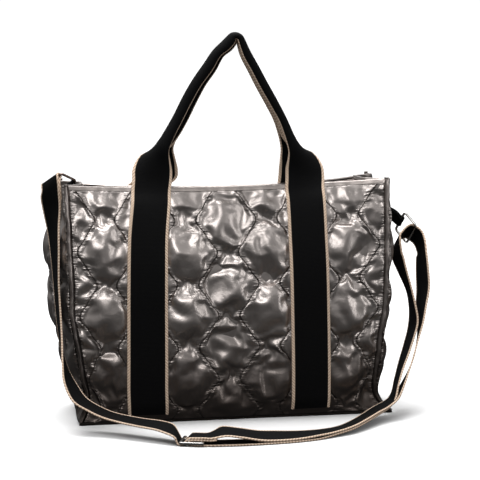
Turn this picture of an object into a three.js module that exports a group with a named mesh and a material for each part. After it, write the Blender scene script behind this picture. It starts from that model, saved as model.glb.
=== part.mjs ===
// Puffer tote bag. Millimetres, +Z up, front wall towards -Y, base resting on Z = 0.
import * as THREE from 'three';
import { mergeVertices } from 'three/addons/utils/BufferGeometryUtils.js';

// sizes of the bag
const HALF_WIDTH = 160;
const HALF_DEPTH = 64;
const BAG_HEIGHT = 236;
const RIM_SAG = 5;
const WALL = 2.4;
const GAP = 0.35;
const CALM_MARGIN = 3;
const WALL_ROUNDNESS = 2.6;
const SIDE_ROUNDNESS = 2.4;
const TUCK_HALF = 0.35;
const TUCK_FADE = 0.55;

// quilting
const QUILT_PITCH = 41;
const QUILT_PERIOD = 65;
const QUILT_WAVE = 10;
const QUILT_NECK_HEIGHT = 45;
const QUILT_LINES = 8;
const QUILT_SHARPNESS = 0.1;
const PUFF = 7.5;
const SIDE_PUFF = 4.5;
const PUFF_ROUNDNESS = 0.6;
const PUFF_NARROWING = 0.75;
const FADE_LOW = 16;
const FADE_HIGH = 14;

// base, hems and corner welts
const BASE_THICKNESS = 2.7;
const HEM_HEIGHT = 4;
const HEM_THICKNESS = 3;
const HEM_SHOULDER = 0.8;
const HEM_TAPER = 0.1;
const WELT_OUT = 3.4;
const WELT_IN = 0.9;
const WELT_GAP = 0.5;
const WELT_ABOVE = 1.5;

// handles
const HANDLE_WIDTH = 40;
const HANDLE_THICKNESS = 1.6;
const HANDLE_SPACING = 82;
const HANDLE_BED = 3.8;
const HANDLE_RISE = 158;
const HANDLE_CLEARANCE = 0.8;
const HANDLE_COLUMNS = 5;
const HANDLE_START = 0.02;
const PRESS_MARGIN = 6.5;
const PRESS_FADE = 6;
const GRIP_WRAP = 2.66;
const GRIP_FLATTEN = 0.64;
const GRIP_STRETCH = 1.06;
const GRIP_SQUEEZE = 0.9;

// shoulder strap and its metal
const STRAP_WIDTH = 25;
const STRAP_THICKNESS = 1.4;
const LEFT_TAB_WIDTH = 23;
const RIGHT_TAB_WIDTH = 12;
const RING_LENGTH = 30.6;
const RING_SIDE = 19;
const WIRE_RADIUS = 1.25;
const RING_CORNER = 3;
const SLIDER_LENGTH = 24.2;
const SLIDER_WIDTH = 31;
const SLIDER_BAR = 2.4;
const SLIDER_CORNER = 2;
const SLOT_CORNER = 0.6;
const SLIDER_THICKNESS = 2.4;
const SLIDER_HEIGHT = 2.3;
const BEND_RADIUS = WIRE_RADIUS + GAP + STRAP_THICKNESS / 2;
const LAYER_SLACK = 0.15;
const LAYER_STEP = STRAP_THICKNESS + GAP + LAYER_SLACK;

// colours
const NYLON = { color: 0x8a817b, roughness: 0.35, metalness: 0.35 };
const WEBBING = { color: 0x0e0e10, roughness: 0.85, metalness: 0 };
const NICKEL = { color: 0xb9b6b2, roughness: 0.25, metalness: 1 };
const DARK_METAL = { color: 0x3a2f29, roughness: 0.3, metalness: 1 };

// front wall by height: seams as shares of the half width, depths as shares of the half depth
const FRONT_ROWS = [
  { up: 0.00, left: 0.925, right: 1.062, middle: 0.97, seam: 1.00 },
  { up: 0.05, left: 0.888, right: 0.975, middle: 1.05, seam: 0.92 },
  { up: 0.11, left: 0.869, right: 0.944, middle: 1.09, seam: 0.89 },
  { up: 0.21, left: 0.897, right: 0.956, middle: 1.11, seam: 0.91 },
  { up: 0.35, left: 0.931, right: 0.978, middle: 1.10, seam: 0.94 },
  { up: 0.46, left: 0.959, right: 1.003, middle: 1.08, seam: 0.95 },
  { up: 0.58, left: 0.962, right: 1.012, middle: 1.05, seam: 0.94 },
  { up: 0.70, left: 0.969, right: 1.019, middle: 0.98, seam: 0.91 },
  { up: 0.85, left: 0.975, right: 1.025, middle: 0.82, seam: 0.84 },
  { up: 1.00, left: 0.984, right: 1.033, middle: 0.58, seam: 0.75 },
];

// back wall, the same columns, depths measured towards the back
const BACK_ROWS = [
  { up: 0.00, left: 0.825, right: 0.925, middle: 0.90, seam: 0.92 },
  { up: 0.05, left: 0.818, right: 0.912, middle: 0.98, seam: 0.86 },
  { up: 0.11, left: 0.830, right: 0.909, middle: 1.03, seam: 0.83 },
  { up: 0.21, left: 0.885, right: 0.934, middle: 1.06, seam: 0.83 },
  { up: 0.35, left: 0.944, right: 0.972, middle: 1.05, seam: 0.83 },
  { up: 0.46, left: 0.966, right: 0.997, middle: 0.99, seam: 0.81 },
  { up: 0.58, left: 0.981, right: 1.012, middle: 0.88, seam: 0.77 },
  { up: 0.70, left: 0.988, right: 1.019, middle: 0.66, seam: 0.69 },
  { up: 0.85, left: 0.981, right: 1.012, middle: 0.24, seam: 0.50 },
  { up: 1.00, left: 0.969, right: 1.000, middle: -0.42, seam: 0.16 },
];

// side walls: how far they stand out beside each seam and fold in at the middle, as shares of the half depth
const LEFT_ROWS = [
  { up: 0.00, front: 0.03, back: 0.03, tuck: 0.00 },
  { up: 0.05, front: 0.08, back: 0.06, tuck: 0.00 },
  { up: 0.11, front: 0.12, back: 0.09, tuck: 0.00 },
  { up: 0.21, front: 0.12, back: 0.11, tuck: 0.00 },
  { up: 0.35, front: 0.10, back: 0.12, tuck: 0.00 },
  { up: 0.58, front: 0.07, back: 0.15, tuck: 0.00 },
  { up: 0.70, front: 0.06, back: 0.18, tuck: 0.02 },
  { up: 0.85, front: 0.05, back: 0.10, tuck: 0.18 },
  { up: 1.00, front: 0.06, back: 0.06, tuck: 0.34 },
];
const RIGHT_ROWS = [
  { up: 0.00, front: 0.04, back: 0.03, tuck: 0.00 },
  { up: 0.05, front: 0.13, back: 0.08, tuck: 0.00 },
  { up: 0.11, front: 0.17, back: 0.12, tuck: 0.00 },
  { up: 0.21, front: 0.21, back: 0.14, tuck: 0.00 },
  { up: 0.35, front: 0.18, back: 0.15, tuck: 0.00 },
  { up: 0.58, front: 0.13, back: 0.16, tuck: 0.00 },
  { up: 0.70, front: 0.12, back: 0.17, tuck: 0.04 },
  { up: 0.85, front: 0.11, back: 0.12, tuck: 0.20 },
  { up: 1.00, front: 0.11, back: 0.08, tuck: 0.40 },
];

// centre lines of the handle webbing on the walls, as shares of the handle spacing
const STRAP_ROWS = [
  { up: 0.00, left: -0.99, right: 1.01 },
  { up: 0.20, left: -1.005, right: 1.00 },
  { up: 0.75, left: -0.98, right: 0.99 },
  { up: 1.00, left: -0.885, right: 1.01 },
];

// one handle from the left foot to the right foot: across and lean as shares of the spacing and depth,
// rise as a share of the handle rise, fold 0 flat to 1 folded, twist in quarter turns
const FRONT_LOOP = [
  { across: -0.875, rise: 0.05, lean: -0.66, fold: 0.03, twist: 0.00 },
  { across: -0.865, rise: 0.12, lean: -0.65, fold: 0.18, twist: 0.08 },
  { across: -0.850, rise: 0.19, lean: -0.64, fold: 0.50, twist: 0.30 },
  { across: -0.800, rise: 0.26, lean: -0.63, fold: 0.86, twist: 0.70 },
  { across: -0.715, rise: 0.34, lean: -0.60, fold: 1.00, twist: 0.92 },
  { across: -0.595, rise: 0.445, lean: -0.57, fold: 1.00, twist: 1.00 },
  { across: -0.475, rise: 0.565, lean: -0.56, fold: 1.00, twist: 1.00 },
  { across: -0.355, rise: 0.670, lean: -0.56, fold: 1.00, twist: 1.00 },
  { across: -0.225, rise: 0.765, lean: -0.56, fold: 1.00, twist: 1.00 },
  { across: -0.100, rise: 0.855, lean: -0.56, fold: 1.00, twist: 1.00 },
  { across: 0.000, rise: 0.905, lean: -0.56, fold: 1.00, twist: 1.00 },
  { across: 0.080, rise: 0.945, lean: -0.56, fold: 1.00, twist: 1.00 },
  { across: 0.121, rise: 0.961, lean: -0.56, fold: 1.00, twist: 1.00 },
  { across: 0.171, rise: 0.965, lean: -0.56, fold: 1.00, twist: 1.00 },
  { across: 0.219, rise: 0.957, lean: -0.56, fold: 1.00, twist: 1.00 },
  { across: 0.256, rise: 0.939, lean: -0.56, fold: 1.00, twist: 1.00 },
  { across: 0.340, rise: 0.850, lean: -0.56, fold: 0.98, twist: 1.00 },
  { across: 0.440, rise: 0.760, lean: -0.56, fold: 0.97, twist: 1.00 },
  { across: 0.555, rise: 0.650, lean: -0.56, fold: 0.98, twist: 1.00 },
  { across: 0.675, rise: 0.540, lean: -0.56, fold: 1.00, twist: 1.00 },
  { across: 0.790, rise: 0.425, lean: -0.57, fold: 1.00, twist: 1.00 },
  { across: 0.880, rise: 0.320, lean: -0.61, fold: 0.98, twist: 0.92 },
  { across: 0.950, rise: 0.245, lean: -0.64, fold: 0.80, twist: 0.66 },
  { across: 1.000, rise: 0.180, lean: -0.65, fold: 0.44, twist: 0.28 },
  { across: 1.020, rise: 0.115, lean: -0.65, fold: 0.16, twist: 0.08 },
  { across: 1.020, rise: 0.050, lean: -0.66, fold: 0.03, twist: 0.00 },
];
const BACK_LOOP_SHIFT = 0.07;
const BACK_LOOP_NARROW = 0.93;
const BACK_LOOP_LOWER = 0.985;
const BACK_LOOP_SPREAD = 0.8;
const BACK_LEAN = { foot: -0.22, grip: -0.27, rising: 4 };
const FRONT_LEAN = -0.56;

// shoulder strap from the left ring to the slider: across and depth as shares of the half width and
// half depth, height as a share of the bag height, turn and tilt of the webbing's width in degrees
const SINGLE_RUN = [
  { across: -1.071, depth: -0.46, up: 0.995, turn: -43, tilt: -31 },
  { across: -1.071, depth: -0.45, up: 0.955, turn: -42, tilt: -24 },
  { across: -1.063, depth: -0.44, up: 0.900, turn: -38, tilt: -10 },
  { across: -1.056, depth: -0.50, up: 0.810, turn: -20, tilt: 0 },
  { across: -1.053, depth: -0.58, up: 0.729, turn: -13, tilt: 0 },
  { across: -1.050, depth: -0.66, up: 0.602, turn: -5, tilt: 0 },
  { across: -1.046, depth: -0.72, up: 0.515, turn: -3, tilt: 0 },
  { across: -1.042, depth: -0.84, up: 0.417, turn: -1, tilt: 0 },
  { across: -1.036, depth: -0.98, up: 0.336, turn: 4, tilt: 0 },
  { across: -1.024, depth: -1.16, up: 0.258, turn: 14, tilt: 2 },
  { across: -1.002, depth: -1.36, up: 0.192, turn: 26, tilt: 6 },
  { across: -0.962, depth: -1.53, up: 0.140, turn: 26, tilt: 10 },
  { across: -0.890, depth: -1.63, up: 0.108, turn: 28, tilt: 4 },
  { across: -0.806, depth: -1.74, up: 0.083, turn: 34, tilt: 2 },
  { across: -0.719, depth: -1.91, up: 0.072, turn: 38, tilt: 3 },
  { across: -0.625, depth: -2.11, up: 0.066, turn: 40, tilt: 5 },
  { across: -0.550, depth: -2.28, up: 0.064, turn: 40, tilt: 7 },
  { across: -0.494, depth: -2.42, up: 0.058, turn: 36, tilt: 7 },
];
// slider place, heading of the strap through it in degrees from +X
const SLIDER_PLACE = { across: -0.344, depth: -2.65 };
const SLIDER_HEADING = -20;

// webbing through the slide, as shares of its length, tilt of its width in degrees: the upper pass and
// the sewn loop on the middle bar
const UPPER_PASS = [
  { run: -0.720, up: 0.370, tilt: 0 },
  { run: -0.603, up: 0.149, tilt: 0 },
  { run: -0.545, up: 0.056, tilt: 0 },
  { run: -0.455, up: 0.052, tilt: 0 },
  { run: -0.380, up: 0.052, tilt: 0 },
  { run: -0.124, up: 0.314, tilt: 0 },
  { run: -0.050, up: 0.328, tilt: 0 },
  { run: 0.060, up: 0.330, tilt: 0 },
  { run: 0.500, up: 0.342, tilt: 0 },
  { run: 0.780, up: 0.400, tilt: 8 },
];
const LOWER_PASS = [
  { run: 0.540, up: 0.050, tilt: 0 },
  { run: -0.041, up: 0.050, tilt: 0 },
  { run: -0.107, up: 0.079, tilt: 0 },
  { run: -0.128, up: 0.145, tilt: 0 },
  { run: -0.103, up: 0.207, tilt: 0 },
  { run: -0.050, up: 0.244, tilt: 0 },
  { run: 0.041, up: 0.252, tilt: 0 },
  { run: 0.500, up: 0.256, tilt: 0 },
  { run: 0.780, up: 0.315, tilt: 8 },
  { run: 0.980, up: 0.360, tilt: 10 },
];

// doubled run on the floor from the slide to the riser: heights of the two layers, tilts of their widths
const FLOOR_RUN = [
  { across: -0.169, depth: -2.755, high: 0.052, highTilt: 11, low: 0.0051, lowTilt: 0 },
  { across: -0.062, depth: -2.775, high: 0.043, highTilt: 11, low: 0.0051, lowTilt: 0 },
  { across: 0.050, depth: -2.770, high: 0.029, highTilt: 12, low: 0.0051, lowTilt: 0 },
  { across: 0.163, depth: -2.75, high: 0.024, highTilt: 11, low: 0.0051, lowTilt: 0 },
  { across: 0.275, depth: -2.70, high: 0.021, highTilt: 7, low: 0.0051, lowTilt: 0 },
  { across: 0.388, depth: -2.61, high: 0.020, highTilt: 1, low: 0.0051, lowTilt: 0 },
  { across: 0.500, depth: -2.48, high: 0.0195, highTilt: -4, low: 0.0093, lowTilt: -4 },
  { across: 0.613, depth: -2.33, high: 0.024, highTilt: -10, low: 0.0144, lowTilt: -10 },
  { across: 0.719, depth: -2.08, high: 0.031, highTilt: -15, low: 0.0212, lowTilt: -15 },
];

// the two legs from the floor to the right ring
const OUTER_LEG = [
  { across: 0.820, depth: -1.80, up: 0.0400, turn: -30, tilt: -14 },
  { across: 0.925, depth: -1.57, up: 0.0570, turn: -14, tilt: -6 },
  { across: 1.010, depth: -1.43, up: 0.0800, turn: 4, tilt: 0 },
  { across: 1.075, depth: -1.32, up: 0.1200, turn: 14, tilt: 0 },
  { across: 1.130, depth: -1.18, up: 0.1650, turn: 18, tilt: 0 },
  { across: 1.184, depth: -1.04, up: 0.2200, turn: 20, tilt: 0 },
  { across: 1.234, depth: -0.88, up: 0.2850, turn: 18, tilt: 0 },
  { across: 1.274, depth: -0.73, up: 0.3550, turn: 8, tilt: 0 },
  { across: 1.294, depth: -0.59, up: 0.4300, turn: -8, tilt: -6 },
  { across: 1.318, depth: -0.48, up: 0.5100, turn: -17, tilt: -14 },
  { across: 1.323, depth: -0.38, up: 0.5900, turn: -17, tilt: -24 },
  { across: 1.328, depth: -0.29, up: 0.6500, turn: -13, tilt: -34 },
];
const INNER_LEG = [
  { across: 0.820, depth: -1.79, up: 0.0300, turn: -30, tilt: -14 },
  { across: 0.915, depth: -1.55, up: 0.0460, turn: -14, tilt: -6 },
  { across: 0.990, depth: -1.41, up: 0.0680, turn: 4, tilt: 0 },
  { across: 1.045, depth: -1.28, up: 0.1120, turn: 12, tilt: 0 },
  { across: 1.092, depth: -1.10, up: 0.1700, turn: 8, tilt: 0 },
  { across: 1.141, depth: -0.94, up: 0.2300, turn: 4, tilt: 0 },
  { across: 1.194, depth: -0.77, up: 0.2950, turn: 1, tilt: 0 },
  { across: 1.236, depth: -0.63, up: 0.3600, turn: -4, tilt: 0 },
  { across: 1.244, depth: -0.52, up: 0.4300, turn: 0, tilt: -4 },
  { across: 1.232, depth: -0.42, up: 0.5050, turn: 3, tilt: -12 },
  { across: 1.199, depth: -0.34, up: 0.5800, turn: -2, tilt: -22 },
  { across: 1.178, depth: -0.28, up: 0.6300, turn: -7, tilt: -32 },
  { across: 1.166, depth: -0.24, up: 0.6650, turn: -9, tilt: -38 },
];

// arch of the webbing over the lower bar of the right ring, as shares of the webbing's width from the bar
const RIGHT_ARCH = [
  { across: 0.322, depth: -0.418, up: -0.517 },
  { across: 0.318, depth: -0.268, up: -0.351 },
  { across: 0.290, depth: -0.125, up: -0.189 },
  { across: 0.203, depth: -0.015, up: -0.051 },
  { across: 0.068, depth: 0.050, up: 0.043 },
  { across: 0.000, depth: 0.082, up: 0.090 },
  { across: -0.083, depth: 0.103, up: 0.128 },
  { across: -0.262, depth: 0.047, up: 0.098 },
  { across: -0.453, depth: -0.071, up: -0.000 },
  { across: -0.620, depth: -0.215, up: -0.129 },
  { across: -0.739, depth: -0.354, up: -0.262 },
];

// rings: centre as shares of the half width, half depth and height; directions of bar and side
const LEFT_RING = { across: -1.012, depth: -0.34, up: 0.996, bar: [-17.5, 19, -15.6], side: [15.4, 7.5, -8.1] };
const RIGHT_RING = { across: 1.254, depth: 0, up: 0.761, bar: [-3.5, 22.3, -20.2], side: [-7.5, 8.1, 11.1] };

// tabs from the side wall to the ring, one layer each way
const LEFT_TAB = [
  { across: -0.984, depth: -0.32, up: 0.900, turn: -6, tilt: 0 },
  { across: -0.978, depth: -0.32, up: 0.935, turn: -20, tilt: -14 },
];
const RIGHT_TAB = [
  { across: 1.045, depth: -0.27, up: 0.890, turn: 0, tilt: 0 },
  { across: 1.075, depth: -0.20, up: 0.868, turn: -3, tilt: -12 },
  { across: 1.115, depth: -0.12, up: 0.850, turn: -6, tilt: -24 },
  { across: 1.160, depth: -0.01, up: 0.828, turn: -9, tilt: -34 },
];

const vec = (x, y, z) => new THREE.Vector3(x, y, z);
const mix = (a, b, t) => a + (b - a) * t;
const clamp01 = (t) => Math.min(1, Math.max(0, t));
const smooth = (t) => clamp01(t) * clamp01(t) * (3 - 2 * clamp01(t));

// value of one column of a table at a share of the height, smoothly joined
function column(rows, name, up) {
  let k = 0;
  while (k < rows.length - 2 && up > rows[k + 1].up) k += 1;
  const before = rows[Math.max(0, k - 1)];
  const low = rows[k];
  const high = rows[k + 1];
  const after = rows[Math.min(rows.length - 1, k + 2)];
  const span = high.up - low.up;
  const t = clamp01((up - low.up) / span);
  const slopeLow = (high[name] - before[name]) / (high.up - before.up) * span;
  const slopeHigh = (after[name] - low[name]) / (after.up - low.up) * span;
  const t2 = t * t;
  const t3 = t2 * t;
  return (2 * t3 - 3 * t2 + 1) * low[name] + (t3 - 2 * t2 + t) * slopeLow
    + (3 * t2 - 2 * t3) * high[name] + (t3 - t2) * slopeHigh;
}

// wavy stitch line number k (0 to 7) at a height, before the wall narrows
function stitchLine(k, z) {
  const turn = 2 * Math.PI * (z - QUILT_NECK_HEIGHT) / QUILT_PERIOD;
  const wave = (1 - QUILT_SHARPNESS) * Math.cos(turn) + QUILT_SHARPNESS * Math.cos(3 * turn);
  const sign = k % 2 === 0 ? -1 : 1;
  return (k - (QUILT_LINES - 1) / 2) * QUILT_PITCH + sign * QUILT_WAVE * wave;
}

// outward height of the padding between two stitch lines
function puffBetween(share, width, full) {
  const round = Math.pow(4 * share * (1 - share), PUFF_ROUNDNESS);
  const wide = clamp01(width / (QUILT_PITCH + 2 * QUILT_WAVE));
  return full * round * Math.pow(wide, PUFF_NARROWING);
}

function wallRows(side) {
  return side < 0 ? FRONT_ROWS : BACK_ROWS;
}

// inner face of the front (side -1) or back (side 1) wall at a flat position and height
function wallPoint(side, flat, z) {
  const up = z / BAG_HEIGHT;
  const rows = wallRows(side);
  const edge = HALF_WIDTH * column(rows, flat < 0 ? 'left' : 'right', up);
  const calm = HANDLE_SPACING + HANDLE_WIDTH / 2 + CALM_MARGIN;
  const reach = Math.abs(flat);
  const x = reach < calm ? reach : calm + (reach - calm) * (edge - calm) / (HALF_WIDTH - calm);
  const share = clamp01(reach / HALF_WIDTH);
  const middle = HALF_DEPTH * column(rows, 'middle', up);
  const seam = HALF_DEPTH * column(rows, 'seam', up);
  const depth = middle + (seam - middle) * Math.pow(share, WALL_ROUNDNESS);
  return vec(Math.sign(flat) * x, side * depth, z);
}

// the point of a surface moved outward at its own height
function lifted(surface, u, v, height) {
  const step = 0.6;
  const du = surface(u + step, v).sub(surface(u - step, v));
  const outward = vec(du.y, -du.x, 0).normalize();
  return surface(u, v).addScaledVector(outward, height);
}

// front walls run left to right, back walls right to left, so that du x dv points outward
function liftedWall(side, flat, z, height) {
  const surface = (u, v) => wallPoint(side, side < 0 ? u : -u, v);
  return betweenWelts(lifted(surface, side < 0 ? flat : -flat, z, height), side);
}

// seam point of a corner at a height: hand -1 left or 1 right, side -1 front or 1 back
function cornerPoint(hand, side, z) {
  return wallPoint(side, hand * HALF_WIDTH, z);
}

// keeps a point of a wall clear of the welts at its two ends
function betweenWelts(point, side) {
  const clear = WELT_IN + WELT_GAP;
  const low = cornerPoint(-1, side, point.z).x + clear;
  const high = cornerPoint(1, side, point.z).x - clear;
  point.x = Math.min(high, Math.max(low, point.x));
  return point;
}

function rimHeight(flat) {
  const share = Math.abs(flat) / HALF_WIDTH;
  return BAG_HEIGHT - HEM_HEIGHT - RIM_SAG * (1 - share * share);
}

function strapCentre(leg, z) {
  return HANDLE_SPACING * column(STRAP_ROWS, leg, z / BAG_HEIGHT);
}

// how flat the padding is pressed by the handle webbing: 0 beside it, 1 under it
function pressed(flat, z) {
  const away = Math.abs(flat - strapCentre(flat < 0 ? 'left' : 'right', z));
  return 1 - smooth((away - HANDLE_WIDTH / 2 - PRESS_MARGIN) / PRESS_FADE);
}

function edgeFade(z, top) {
  const low = clamp01((z - BASE_THICKNESS) / FADE_LOW);
  const high = clamp01((top - z) / FADE_HIGH);
  return Math.sqrt(low * high);
}

function wallPuff(flat, z, share, width) {
  const free = puffBetween(share, width, PUFF);
  const press = pressed(flat, z);
  return mix(free, HANDLE_BED, press) * edgeFade(z, rimHeight(flat));
}

// flat positions of one row of a wall, following the wavy stitch lines
function wallRow(z) {
  const row = [];
  const inset = HALF_WIDTH - WELT_IN - WELT_GAP;
  const lines = [-inset];
  for (let k = 0; k < QUILT_LINES; k += 1) lines.push(stitchLine(k, z));
  lines.push(inset);
  for (let c = 0; c < lines.length - 1; c += 1) {
    const width = lines[c + 1] - lines[c];
    const parts = c === 0 || c === lines.length - 2 ? 2 : 4;
    for (let p = 0; p < parts; p += 1) {
      row.push({ flat: lines[c] + width * p / parts, share: p / parts, width });
    }
  }
  row.push({ flat: inset, share: 0, width: 1 });
  return row;
}

// heights of the rows of a wall, closer together where it rolls under
const ROW_STEP = 0.042;
const ROW_SHARES = [0, 0.012, 0.03, 0.055, 0.085, 0.12];
while (ROW_SHARES[ROW_SHARES.length - 1] < 0.96) {
  ROW_SHARES.push(ROW_SHARES[ROW_SHARES.length - 1] + ROW_STEP);
}
ROW_SHARES.push(1);

const INNER_SHARES = ROW_SHARES.filter((share, k) => k < 7 || k % 2 === 0 || share === 1);

function rowHeight(share, top) {
  return mix(BASE_THICKNESS + GAP, top, share);
}

// closed mesh from faces over a list of points, turned so that it faces outward
function closedGeometry(points, faces) {
  let volume = 0;
  for (let f = 0; f < faces.length; f += 3) {
    const [a, b, c] = [points[faces[f]], points[faces[f + 1]], points[faces[f + 2]]];
    volume += a.dot(b.clone().cross(c));
  }
  if (volume < 0) {
    for (let f = 0; f < faces.length; f += 3) {
      [faces[f], faces[f + 1]] = [faces[f + 1], faces[f]];
    }
  }
  const geometry = new THREE.BufferGeometry();
  geometry.setAttribute('position', new THREE.Float32BufferAttribute(points.flatMap((p) => [p.x, p.y, p.z]), 3));
  geometry.setIndex(faces);
  geometry.computeVertexNormals();
  return geometry;
}

// triangles between two rows of points that start and end side by side, along the shorter diagonals
function ribbonFaces(points, faces, near, far) {
  const apart = (a, b) => points[a].distanceTo(points[b]);
  let i = 0;
  let j = 0;
  while (i < near.length - 1 || j < far.length - 1) {
    const nearOpen = i < near.length - 1;
    const farOpen = j < far.length - 1;
    const nearShorter = nearOpen && farOpen && apart(near[i + 1], far[j]) <= apart(near[i], far[j + 1]);
    if (!farOpen || nearShorter) {
      faces.push(near[i], near[i + 1], far[j]);
      i += 1;
    } else {
      faces.push(near[i], far[j + 1], far[j]);
      j += 1;
    }
  }
}

// solid between an outer and an inner grid of points, which may be of different fineness
function shellSolid(outer, inner) {
  const points = [];
  const faces = [];
  const number = (grid) => grid.map((row) => row.map((p) => points.push(p) - 1));
  const outside = number(outer);
  const inside = number(inner);
  const fill = (grid, flip) => {
    for (let r = 0; r < grid.length - 1; r += 1) {
      for (let c = 0; c < grid[r].length - 1; c += 1) {
        const [a, b] = [grid[r][c], grid[r][c + 1]];
        const [d, e] = [grid[r + 1][c], grid[r + 1][c + 1]];
        if (flip) faces.push(a, d, b, b, d, e);
        else faces.push(a, b, d, b, e, d);
      }
    }
  };
  fill(outside, false);
  fill(inside, true);
  const first = (grid) => grid.map((row) => row[0]);
  const last = (grid) => grid.map((row) => row[row.length - 1]);
  ribbonFaces(points, faces, inside[0], outside[0]);
  ribbonFaces(points, faces, outside[outside.length - 1], inside[inside.length - 1]);
  ribbonFaces(points, faces, first(outside), first(inside));
  ribbonFaces(points, faces, last(inside), last(outside));
  return closedGeometry(points, faces);
}

// solid with the same closed outline of points at every station
function loftSolid(stations, ring) {
  const points = stations.flat();
  const count = stations[0].length;
  const faces = [];
  const last = ring ? stations.length : stations.length - 1;
  for (let s = 0; s < last; s += 1) {
    const here = s * count;
    const next = ((s + 1) % stations.length) * count;
    for (let c = 0; c < count; c += 1) {
      const d = (c + 1) % count;
      faces.push(here + c, here + d, next + c, here + d, next + d, next + c);
    }
  }
  if (!ring) {
    const end = (stations.length - 1) * count;
    for (let c = 1; c < count - 1; c += 1) {
      faces.push(0, c + 1, c);
      faces.push(end, end + c, end + c + 1);
    }
  }
  return closedGeometry(points, faces);
}

function part(name, geometry, look) {
  const mesh = new THREE.Mesh(geometry, new THREE.MeshStandardMaterial(look));
  mesh.name = name;
  return mesh;
}

// quilted front and back walls
function wallPanel(side) {
  const outer = ROW_SHARES.map((share) => wallRow(rowHeight(share, BAG_HEIGHT)).map((spot) => {
    const z = rowHeight(share, rimHeight(spot.flat));
    return liftedWall(side, spot.flat, z, WALL + wallPuff(spot.flat, z, spot.share, spot.width));
  }));
  const inner = [];
  const inset = HALF_WIDTH - WELT_IN - WELT_GAP;
  INNER_SHARES.forEach((share) => {
    const row = [];
    for (let c = 0; c <= 6; c += 1) {
      const flat = mix(-inset, inset, c / 6);
      row.push(betweenWelts(wallPoint(side, flat, rowHeight(share, rimHeight(flat))), side));
    }
    inner.push(row);
  });
  return shellSolid(outer, inner);
}

// folded band along the rim of a wall
function hemBand(side) {
  const stations = [];
  const inset = HALF_WIDTH - WELT_IN - WELT_GAP;
  const count = 20;
  for (let s = 0; s <= count; s += 1) {
    const flat = mix(-inset, inset, s / count);
    const low = rimHeight(flat) + GAP;
    const high = rimHeight(flat) + HEM_HEIGHT;
    const at = betweenWelts(wallPoint(side, flat, low), side);
    const above = betweenWelts(wallPoint(side, flat, high), side);
    const out = side * WALL;
    const back = side * (WALL - HEM_THICKNESS);
    stations.push([
      vec(at.x, at.y + out, low),
      vec(at.x, at.y + back, low),
      vec(above.x, above.y + mix(back, out, HEM_TAPER), high - HEM_SHOULDER),
      vec(above.x, above.y + mix(back, out, 0.5), high),
      vec(above.x, above.y + mix(out, back, HEM_TAPER), high - HEM_SHOULDER),
    ]);
  }
  return loftSolid(stations, false);
}

// inner face of a side wall: share 0 at the front seam to 1 at the back seam
function sidePoint(hand, share, z) {
  const up = z / BAG_HEIGHT;
  const rows = hand < 0 ? LEFT_ROWS : RIGHT_ROWS;
  const front = cornerPoint(hand, -1, z);
  const back = cornerPoint(hand, 1, z);
  const middle = Math.abs(2 * share - 1);
  const lobe = Math.pow(1 - Math.pow(middle, SIDE_ROUNDNESS), 1 / SIDE_ROUNDNESS);
  const out = HALF_DEPTH * mix(column(rows, 'front', up), column(rows, 'back', up), share) * lobe;
  const fold = HALF_DEPTH * column(rows, 'tuck', up) * (1 - smooth((middle - TUCK_HALF) / TUCK_FADE));
  const point = front.clone().lerp(back, share);
  point.x += hand * (out - fold);
  return point;
}

// keeps a point of a side wall clear of the welts in front of it and behind it
function behindWelt(point, hand) {
  const clear = WELT_IN + WELT_GAP;
  const low = cornerPoint(hand, -1, point.z).y + clear;
  const high = cornerPoint(hand, 1, point.z).y - clear;
  point.y = Math.min(high, Math.max(low, point.y));
  return point;
}

// quilted side walls
function sidePanel(hand) {
  const depth = 2 * HALF_DEPTH;
  const inset = (WELT_IN + WELT_GAP) / depth;
  const surface = (u, v) => sidePoint(hand, clamp01((hand < 0 ? -u : u) / depth), v);
  const outer = ROW_SHARES.map((share) => {
    const z = rowHeight(share, BAG_HEIGHT);
    const lines = [inset, 0.5 + stitchLine(3, z) / depth, 0.5 + stitchLine(4, z) / depth, 1 - inset];
    const row = [];
    for (let c = 0; c < 3; c += 1) {
      const width = lines[c + 1] - lines[c];
      for (let p = 0; p < 4; p += 1) {
        row.push({ at: lines[c] + width * p / 4, share: p / 4, width: width * depth });
      }
    }
    row.push({ at: lines[3], share: 0, width: 1 });
    return row.map((spot) => {
      const puff = puffBetween(spot.share, spot.width, SIDE_PUFF) * edgeFade(z, BAG_HEIGHT);
      const u = (hand < 0 ? -spot.at : spot.at) * depth;
      return behindWelt(lifted(surface, u, z, WALL + puff), hand);
    });
  });
  const inner = [];
  INNER_SHARES.forEach((share) => {
    const row = [];
    for (let c = 0; c <= 4; c += 1) {
      const point = sidePoint(hand, mix(inset, 1 - inset, c / 4), rowHeight(share, BAG_HEIGHT));
      row.push(behindWelt(point, hand));
    }
    inner.push(row);
  });
  return shellSolid(outer, inner);
}

// pinched seam along one corner
function cornerWelt(hand, side) {
  const heights = ROW_SHARES.map((share) => rowHeight(share, BAG_HEIGHT - HEM_HEIGHT));
  heights.push(BAG_HEIGHT + WELT_ABOVE);
  const stations = heights.map((z) => {
    const at = cornerPoint(hand, side, z);
    const [x0, x1] = [at.x + hand * WELT_OUT, at.x - hand * WELT_IN];
    const [y0, y1] = [at.y + side * WELT_OUT, at.y - side * WELT_IN];
    return [vec(x0, y1, z), vec(x0, y0, z), vec(x1, y0, z), vec(x1, y1, z)];
  });
  return loftSolid(stations, false);
}

// flat base under the walls
function basePanel() {
  const z = BASE_THICKNESS + GAP;
  const corners = [[-1, -1], [1, -1], [1, 1], [-1, 1]].map(([hand, side]) => {
    const at = cornerPoint(hand, side, z);
    return [at.x + hand * WELT_OUT, at.y + side * WELT_OUT];
  });
  const outline = new THREE.Shape();
  corners.forEach(([x, y], k) => (k === 0 ? outline.moveTo(x, y) : outline.lineTo(x, y)));
  outline.closePath();
  const geometry = new THREE.ExtrudeGeometry(outline, { depth: BASE_THICKNESS, bevelEnabled: false });
  return welded(geometry);
}

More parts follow.
